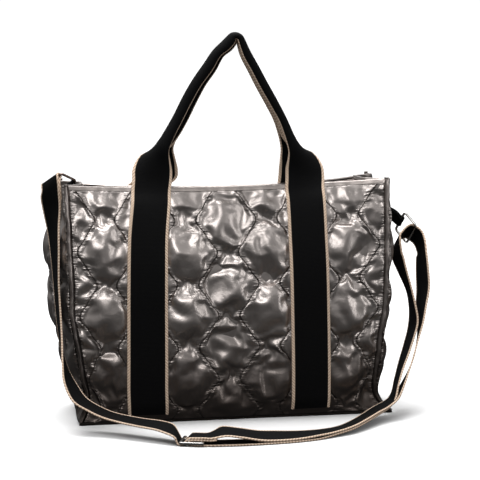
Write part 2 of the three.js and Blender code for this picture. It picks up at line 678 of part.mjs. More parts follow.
function welded(geometry) {
  geometry.deleteAttribute('normal');
  geometry.deleteAttribute('uv');
  const merged = mergeVertices(geometry, 1e-4);
  merged.computeVertexNormals();
  return merged;
}

// webbing outline at a station: curled by fold, its outward direction given
function webbingRows(centre, width, outward, fold, slim) {
  const half = HANDLE_WIDTH / 2;
  const outer = [];
  const inner = [];
  for (let c = 0; c <= HANDLE_COLUMNS; c += 1) {
    const w = 2 * c / HANDLE_COLUMNS - 1;
    const angle = GRIP_WRAP * fold * w;
    const radius = fold < 0.001 ? 0 : half / (GRIP_WRAP * fold);
    const along = fold < 0.001 ? half * w : radius * Math.sin(angle);
    const inward = fold < 0.001 ? 0 : radius * (Math.cos(angle) - 1);
    const stretch = mix(1, GRIP_STRETCH, fold);
    const flatten = mix(1, GRIP_FLATTEN, fold) * slim;
    const at = centre.clone()
      .addScaledVector(width, along * stretch)
      .addScaledVector(outward, inward * flatten);
    const normal = outward.clone().multiplyScalar(Math.cos(angle) / flatten)
      .addScaledVector(width, Math.sin(angle) / stretch)
      .normalize();
    outer.push(at.clone().addScaledVector(normal, HANDLE_THICKNESS / 2));
    inner.push(at.clone().addScaledVector(normal, -HANDLE_THICKNESS / 2));
  }
  return { outer, inner };
}

// one handle: up one side of the wall, through the grip and down the other side
function handle(side) {
  const outer = [];
  const inner = [];
  const flatStation = (leg, share) => {
    const turned = leg === 'left' ? 1 : -1;
    const outRow = [];
    const inRow = [];
    for (let c = 0; c <= HANDLE_COLUMNS; c += 1) {
      const flatAt = (z) => strapCentre(leg, z) + turned * HANDLE_WIDTH * (c / HANDLE_COLUMNS - 0.5);
      const z = rowHeight(share, rimHeight(flatAt(BAG_HEIGHT)));
      const flat = flatAt(z);
      const bed = WALL + HANDLE_BED * edgeFade(z, rimHeight(flat)) + HANDLE_CLEARANCE;
      inRow.push(liftedWall(side, flat, z, bed));
      outRow.push(liftedWall(side, flat, z, bed + HANDLE_THICKNESS));
    }
    outer.push(outRow);
    inner.push(inRow);
  };
  const shares = ROW_SHARES.filter((share, k) => share > HANDLE_START && (k < 7 || k % 2 === 0 || share > 0.85));
  shares.forEach((share) => flatStation('left', share));
  const loop = FRONT_LOOP.map((row) => {
    const across = side < 0 ? row.across : row.across * BACK_LOOP_NARROW + BACK_LOOP_SHIFT;
    const rise = side < 0 ? row.rise : row.rise * BACK_LOOP_LOWER;
    const settled = mix(BACK_LEAN.foot, BACK_LEAN.grip, clamp01(row.rise * BACK_LEAN.rising));
    const lean = side < 0 ? row.lean : settled - (row.lean - FRONT_LEAN) * BACK_LOOP_SPREAD;
    const height = BAG_HEIGHT - RIM_SAG + HANDLE_RISE * rise;
    return { ...row, at: vec(HANDLE_SPACING * across, HALF_DEPTH * lean, height) };
  });
  loop.forEach((row, k) => {
    const ahead = loop[Math.min(k + 1, loop.length - 1)].at;
    const behind = loop[Math.max(k - 1, 0)].at;
    const heading = ahead.clone().sub(behind).normalize();
    const atEnd = k === 0 || k === loop.length - 1;
    const bend = atEnd ? 0 : ahead.clone().sub(row.at).angleTo(row.at.clone().sub(behind));
    const slim = 1 - GRIP_SQUEEZE * bend;
    const facing = vec(0, side, 0);
    const away = vec(0, 1, 0).cross(heading).multiplyScalar(-1);
    const quarter = row.twist * Math.PI / 2;
    const outward = facing.multiplyScalar(Math.cos(quarter)).addScaledVector(away, Math.sin(quarter));
    outward.addScaledVector(heading, -outward.dot(heading)).normalize();
    const width = heading.clone().cross(outward).multiplyScalar(side < 0 ? 1 : -1);
    const rows = webbingRows(row.at, width, outward, row.fold, slim);
    outer.push(rows.outer);
    inner.push(rows.inner);
  });
  [...shares].reverse().forEach((share) => flatStation('right', share));
  return shellSolid(outer, inner);
}

// centre of a table row
function spot(row) {
  return vec(HALF_WIDTH * row.across, HALF_DEPTH * row.depth, BAG_HEIGHT * row.up);
}

// direction of the webbing's width, from its near edge to its far edge
function widthOf(row) {
  const turn = THREE.MathUtils.degToRad(row.turn);
  const tilt = THREE.MathUtils.degToRad(row.tilt);
  return vec(Math.cos(tilt) * Math.sin(turn), Math.cos(tilt) * Math.cos(turn), Math.sin(tilt));
}

// place and width direction at a table row, square says how far the width is turned square to the run
const stop = (row) => ({ at: spot(row), width: widthOf(row), square: 1 });

// flat webbing through a list of stops
function webbing(stops, wide) {
  const upper = [];
  const lower = [];
  stops.forEach(({ at, width, square }, k) => {
    const ahead = stops[Math.min(k + 1, stops.length - 1)].at.clone().sub(at);
    const behind = at.clone().sub(stops[Math.max(k - 1, 0)].at);
    const heading = ahead.normalize().add(behind.normalize()).normalize();
    const across = width.clone().addScaledVector(heading, -square * width.dot(heading)).normalize();
    const face = across.clone().cross(heading).normalize().multiplyScalar(STRAP_THICKNESS / 2);
    across.multiplyScalar(wide / 2);
    const edges = [at.clone().sub(across), at.clone().add(across)];
    upper.push(edges.map((edge) => edge.clone().add(face)));
    lower.push(edges.map((edge) => edge.clone().sub(face)));
  });
  return shellSolid(upper, lower);
}

// centre and directions of a ring
function ringFrame(ring) {
  const bar = vec(...ring.bar).normalize();
  const side = vec(...ring.side);
  side.addScaledVector(bar, -side.dot(bar)).normalize();
  return { centre: spot({ ...ring }), bar, side, face: bar.clone().cross(side) };
}

// rectangular wire ring with rounded corners
function wireRing(ring) {
  const { centre, bar, side, face } = ringFrame(ring);
  const stations = [];
  [[1, 1], [-1, 1], [-1, -1], [1, -1]].forEach(([a, b], corner) => {
    for (let k = 0; k < 3; k += 1) {
      const angle = (corner + k / 2) * Math.PI / 2;
      const [c, s] = [Math.cos(angle), Math.sin(angle)];
      const away = bar.clone().multiplyScalar(c).addScaledVector(side, s);
      const at = centre.clone()
        .addScaledVector(bar, a * (RING_LENGTH / 2 - RING_CORNER))
        .addScaledVector(side, b * (RING_SIDE / 2 - RING_CORNER))
        .addScaledVector(away, RING_CORNER);
      const circle = [];
      for (let n = 0; n < 8; n += 1) {
        const round = n * Math.PI / 4;
        circle.push(at.clone()
          .addScaledVector(away, WIRE_RADIUS * Math.cos(round))
          .addScaledVector(face, WIRE_RADIUS * Math.sin(round)));
      }
      stations.push(circle);
    }
  });
  return loftSolid(stations, true);
}

// stops of webbing that bends over a bar of a ring, from one side of it to the other
function overBar(centre, bar, from, top, turns) {
  return turns.map((degrees) => {
    const angle = THREE.MathUtils.degToRad(degrees);
    const at = centre.clone()
      .addScaledVector(from, BEND_RADIUS * Math.cos(angle))
      .addScaledVector(top, BEND_RADIUS * Math.sin(angle));
    return { at, width: bar, square: 0 };
  });
}

// the same stops shifted square to the webbing
function shifted(stops, away) {
  return stops.map(({ at, width, square }) => {
    const off = away.clone().addScaledVector(width, -away.dot(width)).normalize();
    return { at: at.clone().addScaledVector(off, LAYER_STEP), width, square };
  });
}

// webbing loop from a side wall round the inner bar of a ring and back
function tab(rows, ring, hand, wide) {
  const { centre, bar, side } = ringFrame(ring);
  const inner = centre.clone().addScaledVector(side, RING_SIDE / 2);
  const first = rows.map(stop);
  const root = first[first.length - 1].at.clone().sub(inner);
  root.addScaledVector(bar, -root.dot(bar)).normalize();
  const from = bar.clone().cross(root).multiplyScalar(hand);
  const bend = overBar(inner, bar, from, root.clone().multiplyScalar(-1), [-20, 20, 60, 90, 120, 160, 200]);
  const back = shifted(first, from.clone().multiplyScalar(-1)).reverse();
  return webbing([...first, ...bend, ...back], wide);
}

// rectangle from x = a to x = b, half its height up and down, with rounded corners
function roundedPath(path, a, b, half, corner) {
  path.absarc(b - corner, half - corner, corner, 0, Math.PI / 2);
  path.absarc(a + corner, half - corner, corner, Math.PI / 2, Math.PI);
  path.absarc(a + corner, corner - half, corner, Math.PI, 1.5 * Math.PI);
  path.absarc(b - corner, corner - half, corner, 1.5 * Math.PI, 2 * Math.PI);
  path.closePath();
  return path;
}

// flat slide with two slots, the webbing passes along its length
function slide() {
  const half = SLIDER_LENGTH / 2;
  const outline = roundedPath(new THREE.Shape(), -half, half, SLIDER_WIDTH / 2, SLIDER_CORNER);
  const inside = SLIDER_WIDTH / 2 - SLIDER_BAR;
  [[SLIDER_BAR / 2, half - SLIDER_BAR], [SLIDER_BAR - half, -SLIDER_BAR / 2]].forEach(([a, b]) => {
    outline.holes.push(roundedPath(new THREE.Path(), a, b, inside, SLOT_CORNER));
  });
  const geometry = new THREE.ExtrudeGeometry(outline, {
    depth: SLIDER_THICKNESS,
    bevelEnabled: false,
    curveSegments: 2,
  });
  const mesh = part('slider', welded(geometry), NICKEL);
  mesh.position.set(HALF_WIDTH * SLIDER_PLACE.across, HALF_DEPTH * SLIDER_PLACE.depth, SLIDER_HEIGHT);
  mesh.rotation.z = THREE.MathUtils.degToRad(SLIDER_HEADING);
  return mesh;
}

// one length of webbing: left ring, slide, right ring and back to the middle bar of the slide
function shoulderStrap() {
  const stops = [];
  const hang = ringFrame(LEFT_RING);
  const hangBar = hang.centre.clone().addScaledVector(hang.side, -RING_SIDE / 2);
  const single = SINGLE_RUN.map(stop);
  single[0].square = 0;
  single[1].square = 0.5;
  const sewn = shifted(single.slice(0, 3), hang.side).reverse();
  const outside = hang.side.clone().multiplyScalar(-1);
  const above = hang.face.clone().multiplyScalar(-1);
  const bend = overBar(hangBar, hang.bar, outside, above, [190, 150, 120, 90, 60, 30, -10]);
  stops.push(...sewn, ...bend, ...single);

  const turn = THREE.MathUtils.degToRad(SLIDER_HEADING);
  const along = vec(Math.cos(turn), Math.sin(turn), 0);
  const across = vec(-Math.sin(turn), Math.cos(turn), 0);
  const slider = vec(HALF_WIDTH * SLIDER_PLACE.across, HALF_DEPTH * SLIDER_PLACE.depth, 0);
  const through = (rows) => rows.map(({ run, up, tilt }) => {
    const lean = THREE.MathUtils.degToRad(tilt);
    const at = slider.clone().addScaledVector(along, run * SLIDER_LENGTH).add(vec(0, 0, up * SLIDER_LENGTH));
    const width = across.clone().multiplyScalar(Math.cos(lean)).add(vec(0, 0, Math.sin(lean)));
    return { at, width, square: 0 };
  });
  stops.push(...through(UPPER_PASS));

  const layer = (height, tilt) => FLOOR_RUN.map((row, k) => {
    const ahead = FLOOR_RUN[Math.min(k + 1, FLOOR_RUN.length - 1)];
    const behind = FLOOR_RUN[Math.max(k - 1, 0)];
    const stepX = HALF_WIDTH * (ahead.across - behind.across);
    const stepY = HALF_DEPTH * (ahead.depth - behind.depth);
    const degrees = -THREE.MathUtils.radToDeg(Math.atan2(stepY, stepX));
    return stop({ across: row.across, depth: row.depth, up: row[height], turn: degrees, tilt: row[tilt] });
  });
  stops.push(...layer('high', 'highTilt'));
  stops.push(...OUTER_LEG.map(stop));

  const high = ringFrame(RIGHT_RING);
  const highBar = high.centre.clone().addScaledVector(high.side, -RING_SIDE / 2);
  stops.push(...RIGHT_ARCH.map((row) => {
    const away = vec(row.across, row.depth, row.up).multiplyScalar(STRAP_WIDTH);
    return { at: highBar.clone().add(away), width: high.bar, square: 0 };
  }));
  stops.push(...INNER_LEG.map(stop).reverse());
  stops.push(...layer('low', 'lowTilt').reverse());
  stops.push(...through(LOWER_PASS));
  return part('shoulder_strap', webbing(stops, STRAP_WIDTH), WEBBING);
}

const bag = new THREE.Group();
bag.name = 'puffer_tote_bag';
bag.add(
  part('front_panel', wallPanel(-1), NYLON),
  part('back_panel', wallPanel(1), NYLON),
  part('left_gusset', sidePanel(-1), NYLON),
  part('right_gusset', sidePanel(1), NYLON),
  part('base_panel', basePanel(), NYLON),
  part('front_hem', hemBand(-1), NYLON),
  part('back_hem', hemBand(1), NYLON),
  part('front_left_welt', cornerWelt(-1, -1), NYLON),
  part('front_right_welt', cornerWelt(1, -1), NYLON),
  part('back_left_welt', cornerWelt(-1, 1), NYLON),
  part('back_right_welt', cornerWelt(1, 1), NYLON),
  part('front_handle', handle(-1), WEBBING),
  part('back_handle', handle(1), WEBBING),
  part('left_ring', wireRing(LEFT_RING), DARK_METAL),
  part('right_ring', wireRing(RIGHT_RING), NICKEL),
  part('left_tab', tab(LEFT_TAB, LEFT_RING, -1, LEFT_TAB_WIDTH), WEBBING),
  part('right_tab', tab(RIGHT_TAB, RIGHT_RING, 1, RIGHT_TAB_WIDTH), WEBBING),
  slide(),
  shoulderStrap(),
);

export default bag;
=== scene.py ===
"""Puffer tote bag: quilted metallic nylon, black webbing with cream borders, metal rings and slide.

Sizes are in millimetres, with the base at height 0 and the front wall towards -Y, and become metres
when a mesh is made.
"""

import math

import bpy
import numpy as np
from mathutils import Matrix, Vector


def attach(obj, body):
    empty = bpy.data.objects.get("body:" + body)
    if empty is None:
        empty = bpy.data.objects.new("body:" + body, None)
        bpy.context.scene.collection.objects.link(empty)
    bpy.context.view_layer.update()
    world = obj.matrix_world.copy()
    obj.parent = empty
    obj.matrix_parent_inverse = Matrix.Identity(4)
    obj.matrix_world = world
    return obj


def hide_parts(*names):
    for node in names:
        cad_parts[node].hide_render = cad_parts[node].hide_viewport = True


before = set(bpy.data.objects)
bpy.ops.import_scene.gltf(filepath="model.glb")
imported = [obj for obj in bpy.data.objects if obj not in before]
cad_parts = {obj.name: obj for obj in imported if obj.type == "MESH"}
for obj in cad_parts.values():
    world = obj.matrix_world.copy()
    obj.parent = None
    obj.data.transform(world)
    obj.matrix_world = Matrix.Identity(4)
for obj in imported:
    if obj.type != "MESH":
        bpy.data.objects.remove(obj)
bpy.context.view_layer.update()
rng = np.random.default_rng(7)

MM = 0.001

# bag
HALF_WIDTH = 160
HALF_DEPTH = 64
BAG_HEIGHT = 236
RIM_SAG = 5
WALL = 2.4
GAP = 0.35
CALM_MARGIN = 3
WALL_ROUNDNESS = 2.6
SIDE_ROUNDNESS = 2.4
TUCK_HALF = 0.35
TUCK_FADE = 0.55
BASE_THICKNESS = 2.7
HEM_HEIGHT = 4
HEM_THICKNESS = 3
FRONT_HEM_RISE = 0.4
BACK_HEM_RISE = -1.2
WELT_OUT = 3.4
WELT_IN = 0.9
WELT_GAP = 0.5
WELT_ABOVE = 1.5
# section of a welt: outward and across
WELT_OUTLINE = [(-0.9, -1.2), (1.4, -1.5), (3.2, -1.55), (4.0, -1.1), (4.1, -0.5), (3.3, 0.0),
                (4.1, 0.5), (4.0, 1.1), (3.2, 1.55), (1.4, 1.5), (-0.9, 1.2)]

# quilting
QUILT_PITCH = 41
QUILT_PERIOD = 65
QUILT_WAVE = 10
QUILT_NECK_HEIGHT = 45
QUILT_LINES = 8
QUILT_SHARPNESS = 0.1
PUFF = 7.5
SIDE_PUFF = 4.5
PUFF_ROUNDNESS = 0.6
PUFF_NARROWING = 0.75
FADE_LOW = 16
FADE_HIGH = 14

# the padded layer before it is blown, and how far it is blown
START_PUFF = 0.55
UNEVENNESS = ((6, 0.25), (12, 0.7))
CLOTH_FRAMES = 20
WALL_CLOTH = {"pressure": 5.0, "growth": 0.12, "limit": 10}
SIDE_CLOTH = {"pressure": 4.5, "growth": 0.07, "limit": 5}
SOFT_ROUNDS = 2
SOFT_SHARE = 0.6
SOFT_REACH = 6
SOFT_LEAST = 0.15

# stitches
STITCH_PITCH = 3.4
STITCH_LENGTH = 2.6
STITCH_THICKNESS = 0.7
STITCH_LIFT = 0.25
FAR_FROM_SEAM = 20.0

# handles
HANDLE_WIDTH = 40
HANDLE_THICKNESS = 1.6
HANDLE_SPACING = 82
HANDLE_BED = 3.8
HANDLE_RISE = 158
HANDLE_CLEARANCE = 0.8
HANDLE_BORDER = 3.0
HANDLE_START = 0.03
PRESS_MARGIN = -3
PRESS_FADE = 4
GRIP_WRAP = 2.66
GRIP_FLATTEN = 0.64
GRIP_STRETCH = 1.06
GRIP_SQUEEZE = 0.9
BACK_LOOP_SHIFT = 0.07
BACK_LOOP_NARROW = 0.93
BACK_LOOP_LOWER = 0.985
BACK_LOOP_SPREAD = 0.8
BACK_LEAN = {"foot": -0.22, "grip": -0.27, "rising": 4}
FRONT_LEAN = -0.56

# shoulder strap and its metal
STRAP_WIDTH = 25
STRAP_THICKNESS = 1.4
STRAP_BORDER = 1.9
LEFT_TAB_WIDTH = 23
RIGHT_TAB_WIDTH = 12
RING_LENGTH = 30.6
RING_SIDE = 19
WIRE_RADIUS = 1.25
RING_CORNER = 3
SLIDER_LENGTH = 24.2
SLIDER_WIDTH = 31
SLIDER_BAR = 2.4
SLIDER_CORNER = 2
SLIDER_THICKNESS = 2.4
SLIDER_HEIGHT = 2.3
SLIDER_HEADING = -20
SLIDER_SOFT_EDGE = 0.55
SLOT_CORNER = 1.0
BEND_RADIUS = WIRE_RADIUS + GAP + STRAP_THICKNESS / 2
LAYER_SLACK = 0.15
LAYER_STEP = STRAP_THICKNESS + GAP + LAYER_SLACK

# webbing: pitches in metres, thicker bead and rounding of the edge as shares
RIB_PITCH = 0.0013
GRAIN_PITCH = 0.0009
TWILL_PITCH = 0.0030
EDGE_BEAD = 0.30
EDGE_ROUNDING = 0.04
TAB_BORDER = 2


def table(names, rows):
    """Columns of numbers by name."""
    return dict(zip(names.split(), np.array(rows, float).T))


# walls by height: seams as shares of the half width, depths as shares of the half depth
FRONT_ROWS = table("up left right middle seam", [
    (0.00, 0.925, 1.062, 0.97, 1.00),
    (0.05, 0.888, 0.975, 1.05, 0.92),
    (0.11, 0.869, 0.944, 1.09, 0.89),
    (0.21, 0.897, 0.956, 1.11, 0.91),
    (0.35, 0.931, 0.978, 1.10, 0.94),
    (0.46, 0.959, 1.003, 1.08, 0.95),
    (0.58, 0.962, 1.012, 1.05, 0.94),
    (0.70, 0.969, 1.019, 0.98, 0.91),
    (0.85, 0.975, 1.025, 0.82, 0.84),
    (1.00, 0.984, 1.033, 0.58, 0.75),
])
BACK_ROWS = table("up left right middle seam", [
    (0.00, 0.825, 0.925, 0.90, 0.92),
    (0.05, 0.818, 0.912, 0.98, 0.86),
    (0.11, 0.830, 0.909, 1.03, 0.83),
    (0.21, 0.885, 0.934, 1.06, 0.83),
    (0.35, 0.944, 0.972, 1.05, 0.83),
    (0.46, 0.966, 0.997, 0.99, 0.81),
    (0.58, 0.981, 1.012, 0.88, 0.77),
    (0.70, 0.988, 1.019, 0.66, 0.69),
    (0.85, 0.981, 1.012, 0.24, 0.50),
    (1.00, 0.969, 1.000, -0.42, 0.16),
])

# side walls: how far they stand out beside the seams and fold in at the middle, as shares of the half depth
LEFT_ROWS = table("up front back tuck", [
    (0.00, 0.03, 0.03, 0.00),
    (0.05, 0.08, 0.06, 0.00),
    (0.11, 0.12, 0.09, 0.00),
    (0.21, 0.12, 0.11, 0.00),
    (0.35, 0.10, 0.12, 0.00),
    (0.58, 0.07, 0.15, 0.00),
    (0.70, 0.06, 0.18, 0.02),
    (0.85, 0.05, 0.10, 0.18),
    (1.00, 0.06, 0.06, 0.34),
])
RIGHT_ROWS = table("up front back tuck", [
    (0.00, 0.04, 0.03, 0.00),
    (0.05, 0.13, 0.08, 0.00),
    (0.11, 0.17, 0.12, 0.00),
    (0.21, 0.21, 0.14, 0.00),
    (0.35, 0.18, 0.15, 0.00),
    (0.58, 0.13, 0.16, 0.00),
    (0.70, 0.12, 0.17, 0.04),
    (0.85, 0.11, 0.12, 0.20),
    (1.00, 0.11, 0.08, 0.40),
])

# centre lines of the handle webbing on the walls, as shares of the handle spacing
STRAP_ROWS = table("up left right", [
    (0.00, -0.99, 1.01),
    (0.20, -1.005, 1.00),
    (0.75, -0.98, 0.99),
    (1.00, -0.885, 1.01),
])

# one handle from foot to foot: across and lean as shares of the spacing and depth, rise as a share of
# the handle rise, fold 0 flat to 1 folded, twist in quarter turns
FRONT_LOOP = table("across rise lean fold twist", [
    (-0.875, 0.050, -0.66, 0.03, 0.00),
    (-0.865, 0.120, -0.65, 0.18, 0.08),
    (-0.850, 0.190, -0.64, 0.50, 0.30),
    (-0.800, 0.260, -0.63, 0.86, 0.70),
    (-0.715, 0.340, -0.60, 1.00, 0.92),
    (-0.595, 0.445, -0.57, 1.00, 1.00),
    (-0.475, 0.565, -0.56, 1.00, 1.00),
    (-0.355, 0.670, -0.56, 1.00, 1.00),
    (-0.225, 0.765, -0.56, 1.00, 1.00),
    (-0.100, 0.855, -0.56, 1.00, 1.00),
    (0.000, 0.905, -0.56, 1.00, 1.00),
    (0.080, 0.945, -0.56, 1.00, 1.00),
    (0.121, 0.961, -0.56, 1.00, 1.00),
    (0.171, 0.965, -0.56, 1.00, 1.00),
    (0.219, 0.957, -0.56, 1.00, 1.00),
    (0.256, 0.939, -0.56, 1.00, 1.00),
    (0.340, 0.850, -0.56, 0.98, 1.00),
    (0.440, 0.760, -0.56, 0.97, 1.00),
    (0.555, 0.650, -0.56, 0.98, 1.00),
    (0.675, 0.540, -0.56, 1.00, 1.00),
    (0.790, 0.425, -0.57, 1.00, 1.00),
    (0.880, 0.320, -0.61, 0.98, 0.92),
    (0.950, 0.245, -0.64, 0.80, 0.66),
    (1.000, 0.180, -0.65, 0.44, 0.28),
    (1.020, 0.115, -0.65, 0.16, 0.08),
    (1.020, 0.050, -0.66, 0.03, 0.00),
])

# shoulder strap: across, depth and height as shares of the half width, half depth and height of the
# bag, turn and tilt of the webbing's width in degrees
STRAP_COLUMNS = "across depth up turn tilt"
SINGLE_RUN = table(STRAP_COLUMNS, [
    (-1.071, -0.46, 0.995, -43, -31),
    (-1.071, -0.45, 0.955, -42, -24),
    (-1.063, -0.44, 0.900, -38, -10),
    (-1.056, -0.50, 0.810, -20, 0),
    (-1.053, -0.58, 0.729, -13, 0),
    (-1.050, -0.66, 0.602, -5, 0),
    (-1.046, -0.72, 0.515, -3, 0),
    (-1.042, -0.84, 0.417, -1, 0),
    (-1.036, -0.98, 0.336, 4, 0),
    (-1.024, -1.16, 0.258, 14, 2),
    (-1.002, -1.36, 0.192, 26, 6),
    (-0.962, -1.53, 0.140, 26, 10),
    (-0.890, -1.63, 0.108, 28, 4),
    (-0.806, -1.74, 0.083, 34, 2),
    (-0.719, -1.91, 0.072, 38, 3),
    (-0.625, -2.11, 0.066, 40, 5),
    (-0.550, -2.28, 0.064, 40, 7),
    (-0.494, -2.42, 0.058, 36, 7),
])
SLIDER_PLACE = (-0.344, -2.65)

# webbing through the slide, as shares of its length, tilt of its width in degrees
UPPER_PASS = table("run up tilt", [
    (-0.720, 0.370, 0),
    (-0.603, 0.149, 0),
    (-0.545, 0.056, 0),
    (-0.455, 0.052, 0),
    (-0.380, 0.052, 0),
    (-0.124, 0.314, 0),
    (-0.050, 0.328, 0),
    (0.060, 0.330, 0),
    (0.500, 0.342, 0),
    (0.780, 0.400, 8),
])
LOWER_PASS = table("run up tilt", [
    (0.540, 0.050, 0),
    (-0.041, 0.050, 0),
    (-0.107, 0.079, 0),
    (-0.128, 0.145, 0),
    (-0.103, 0.207, 0),
    (-0.050, 0.244, 0),
    (0.041, 0.252, 0),
    (0.500, 0.256, 0),
    (0.780, 0.315, 8),
    (0.980, 0.360, 10),
])

# doubled run on the floor: heights of the two layers, tilts of their widths
FLOOR_RUN = table("across depth high high_tilt low low_tilt", [
    (-0.169, -2.755, 0.052, 11, 0.0051, 0),
    (-0.062, -2.775, 0.043, 11, 0.0051, 0),
    (0.050, -2.770, 0.029, 12, 0.0051, 0),
    (0.163, -2.75, 0.024, 11, 0.0051, 0),
    (0.275, -2.70, 0.021, 7, 0.0051, 0),
    (0.388, -2.61, 0.020, 1, 0.0051, 0),
    (0.500, -2.48, 0.0195, -4, 0.0093, -4),
    (0.613, -2.33, 0.024, -10, 0.0144, -10),
    (0.719, -2.08, 0.031, -15, 0.0212, -15),
])
OUTER_LEG = table(STRAP_COLUMNS, [
    (0.820, -1.80, 0.0400, -30, -14),
    (0.925, -1.57, 0.0570, -14, -6),
    (1.010, -1.43, 0.0800, 4, 0),
    (1.075, -1.32, 0.1200, 14, 0),
    (1.130, -1.18, 0.1650, 18, 0),
    (1.184, -1.04, 0.2200, 20, 0),
    (1.234, -0.88, 0.2850, 18, 0),
    (1.274, -0.73, 0.3550, 8, 0),
    (1.294, -0.59, 0.4300, -8, -6),
    (1.318, -0.48, 0.5100, -17, -14),
    (1.323, -0.38, 0.5900, -17, -24),
    (1.328, -0.29, 0.6500, -13, -34),
])
INNER_LEG = table(STRAP_COLUMNS, [
    (0.820, -1.79, 0.0300, -30, -14),
    (0.915, -1.55, 0.0460, -14, -6),
    (0.990, -1.41, 0.0680, 4, 0),
    (1.045, -1.28, 0.1120, 12, 0),
    (1.092, -1.10, 0.1700, 8, 0),
    (1.141, -0.94, 0.2300, 4, 0),
    (1.194, -0.77, 0.2950, 1, 0),
    (1.236, -0.63, 0.3600, -4, 0),
    (1.244, -0.52, 0.4300, 0, -4),
    (1.232, -0.42, 0.5050, 3, -12),
    (1.199, -0.34, 0.5800, -2, -22),
    (1.178, -0.28, 0.6300, -7, -32),
    (1.166, -0.24, 0.6650, -9, -38),
])
# arch of the webbing over the lower bar of the right ring, as shares of the webbing's width from the bar
RIGHT_ARCH = np.array([
    (0.322, -0.418, -0.517),
    (0.318, -0.268, -0.351),
    (0.290, -0.125, -0.189),
    (0.203, -0.015, -0.051),
    (0.068, 0.050, 0.043),
    (0.000, 0.082, 0.090),
    (-0.083, 0.103, 0.128),
    (-0.262, 0.047, 0.098),
    (-0.453, -0.071, -0.000),
    (-0.620, -0.215, -0.129),
    (-0.739, -0.354, -0.262),
])
LEFT_RING = {"place": (-1.012, -0.34, 0.996), "bar": (-17.5, 19, -15.6), "side": (15.4, 7.5, -8.1)}
RIGHT_RING = {"place": (1.254, 0, 0.761), "bar": (-3.5, 22.3, -20.2), "side": (-7.5, 8.1, 11.1)}
LEFT_TAB = table(STRAP_COLUMNS, [
    (-0.984, -0.32, 0.900, -6, 0),
    (-0.978, -0.32, 0.935, -20, -14),
])
RIGHT_TAB = table(STRAP_COLUMNS, [
    (1.045, -0.27, 0.890, 0, 0),
    (1.075, -0.20, 0.868, -3, -12),
    (1.115, -0.12, 0.850, -6, -24),
    (1.160, -0.01, 0.828, -9, -34),
])

# camera
CAMERA_PLACE = (-489.2, -2423.8, 502.2)
CAMERA_TARGET = (26.0, 0, 171.5)
CAMERA_LENS = 184.5
CAMERA_SENSOR = 36

# lights, in metres, watts and degrees
LIT_MIDDLE = (0, -0.05, 0.16)
SOFT_BOXES = (
    ("key", (-0.35, -0.95, 1.05), (0.9, 0.5), 7.5),
    ("right", (1.5, -0.9, 0.7), (0.4, 1.0), 5),
    ("back", (0.2, 1.2, 1.2), (1.2, 0.6), 8),
)
SUN_PLACE = (-0.2, 0.55, 2.4)
SUN_POWER = 3.2
SUN_ANGLE = 38
SEEN_WORLD = 1.05
ROOM_LIGHT = {"From Min": -0.15, "From Max": 0.7, "To Min": 0.05, "To Max": 0.55}
FLOOR_REACH = 6000


# small maths

def mix(a, b, t):
    return a + (b - a) * t


def smooth(t):
    t = np.clip(t, 0, 1)
    return t * t * (3 - 2 * t)


def unit(v):
    v = np.asarray(v, float)
    return v / np.maximum(np.linalg.norm(v, axis=-1, keepdims=True), 1e-9)


def column(rows, name, up):
    """A column of a table at shares of the height, smoothly joined."""
    ups, values = rows["up"], rows[name]
    k = np.searchsorted(ups[1:-1], up)
    before, after = np.maximum(k - 1, 0), np.minimum(k + 2, len(ups) - 1)
    span = ups[k + 1] - ups[k]
    t = np.clip((up - ups[k]) / span, 0, 1)
    slope_low = (values[k + 1] - values[before]) / (ups[k + 1] - ups[before]) * span
    slope_high = (values[after] - values[k]) / (ups[after] - ups[k]) * span
    return ((2 * t**3 - 3 * t**2 + 1) * values[k] + (t**3 - 2 * t**2 + t) * slope_low
            + (3 * t**2 - 2 * t**3) * values[k + 1] + (t**3 - t**2) * slope_high)


def through_stops(stops, step):
    """Smooth curve through the rows of an array, about one row every step along it."""
    stops = np.asarray(stops, float)
    flat = stops.reshape(len(stops), -1)
    middle = stops if stops.ndim == 2 else stops[:, stops.shape[1] // 2]
    lengths = np.linalg.norm(np.diff(middle[:, :3], axis=0), axis=1)
    knots = np.concatenate([[0], np.cumsum(np.sqrt(np.maximum(lengths, 1e-6)))])
    rows = []
    for k in range(len(stops) - 1):
        a, d = max(k - 1, 0), min(k + 2, len(stops) - 1)
        span = knots[k + 1] - knots[k]
        slope_low = (flat[k + 1] - flat[a]) / (knots[k + 1] - knots[a]) * span
        slope_high = (flat[d] - flat[k]) / (knots[d] - knots[k]) * span
        count = max(1, math.ceil(lengths[k] / step))
        for t in np.arange(count) / count:
            rows.append((2 * t**3 - 3 * t**2 + 1) * flat[k] + (t**3 - 2 * t**2 + t) * slope_low
                        + (3 * t**2 - 2 * t**3) * flat[k + 1] + (t**3 - t**2) * slope_high)
    rows.append(flat[-1])
    return np.array(rows).reshape((len(rows),) + stops.shape[1:])


# the bag's surfaces

def stitch_line(k, z):
    """Flat position of wavy stitch line k at a height."""
    turn = 2 * np.pi * (z - QUILT_NECK_HEIGHT) / QUILT_PERIOD
    wave = (1 - QUILT_SHARPNESS) * np.cos(turn) + QUILT_SHARPNESS * np.cos(3 * turn)
    return (k - (QUILT_LINES - 1) / 2) * QUILT_PITCH + (-1 if k % 2 == 0 else 1) * QUILT_WAVE * wave


def puff_between(share, width, full):
    """Outward height of the padding between two stitch lines."""
    wide = np.clip(width / (QUILT_PITCH + 2 * QUILT_WAVE), 0, 1)
    lobe = np.power(np.clip(4 * share * (1 - share), 0, 1), PUFF_ROUNDNESS)
    return full * lobe * np.power(wide, PUFF_NARROWING)


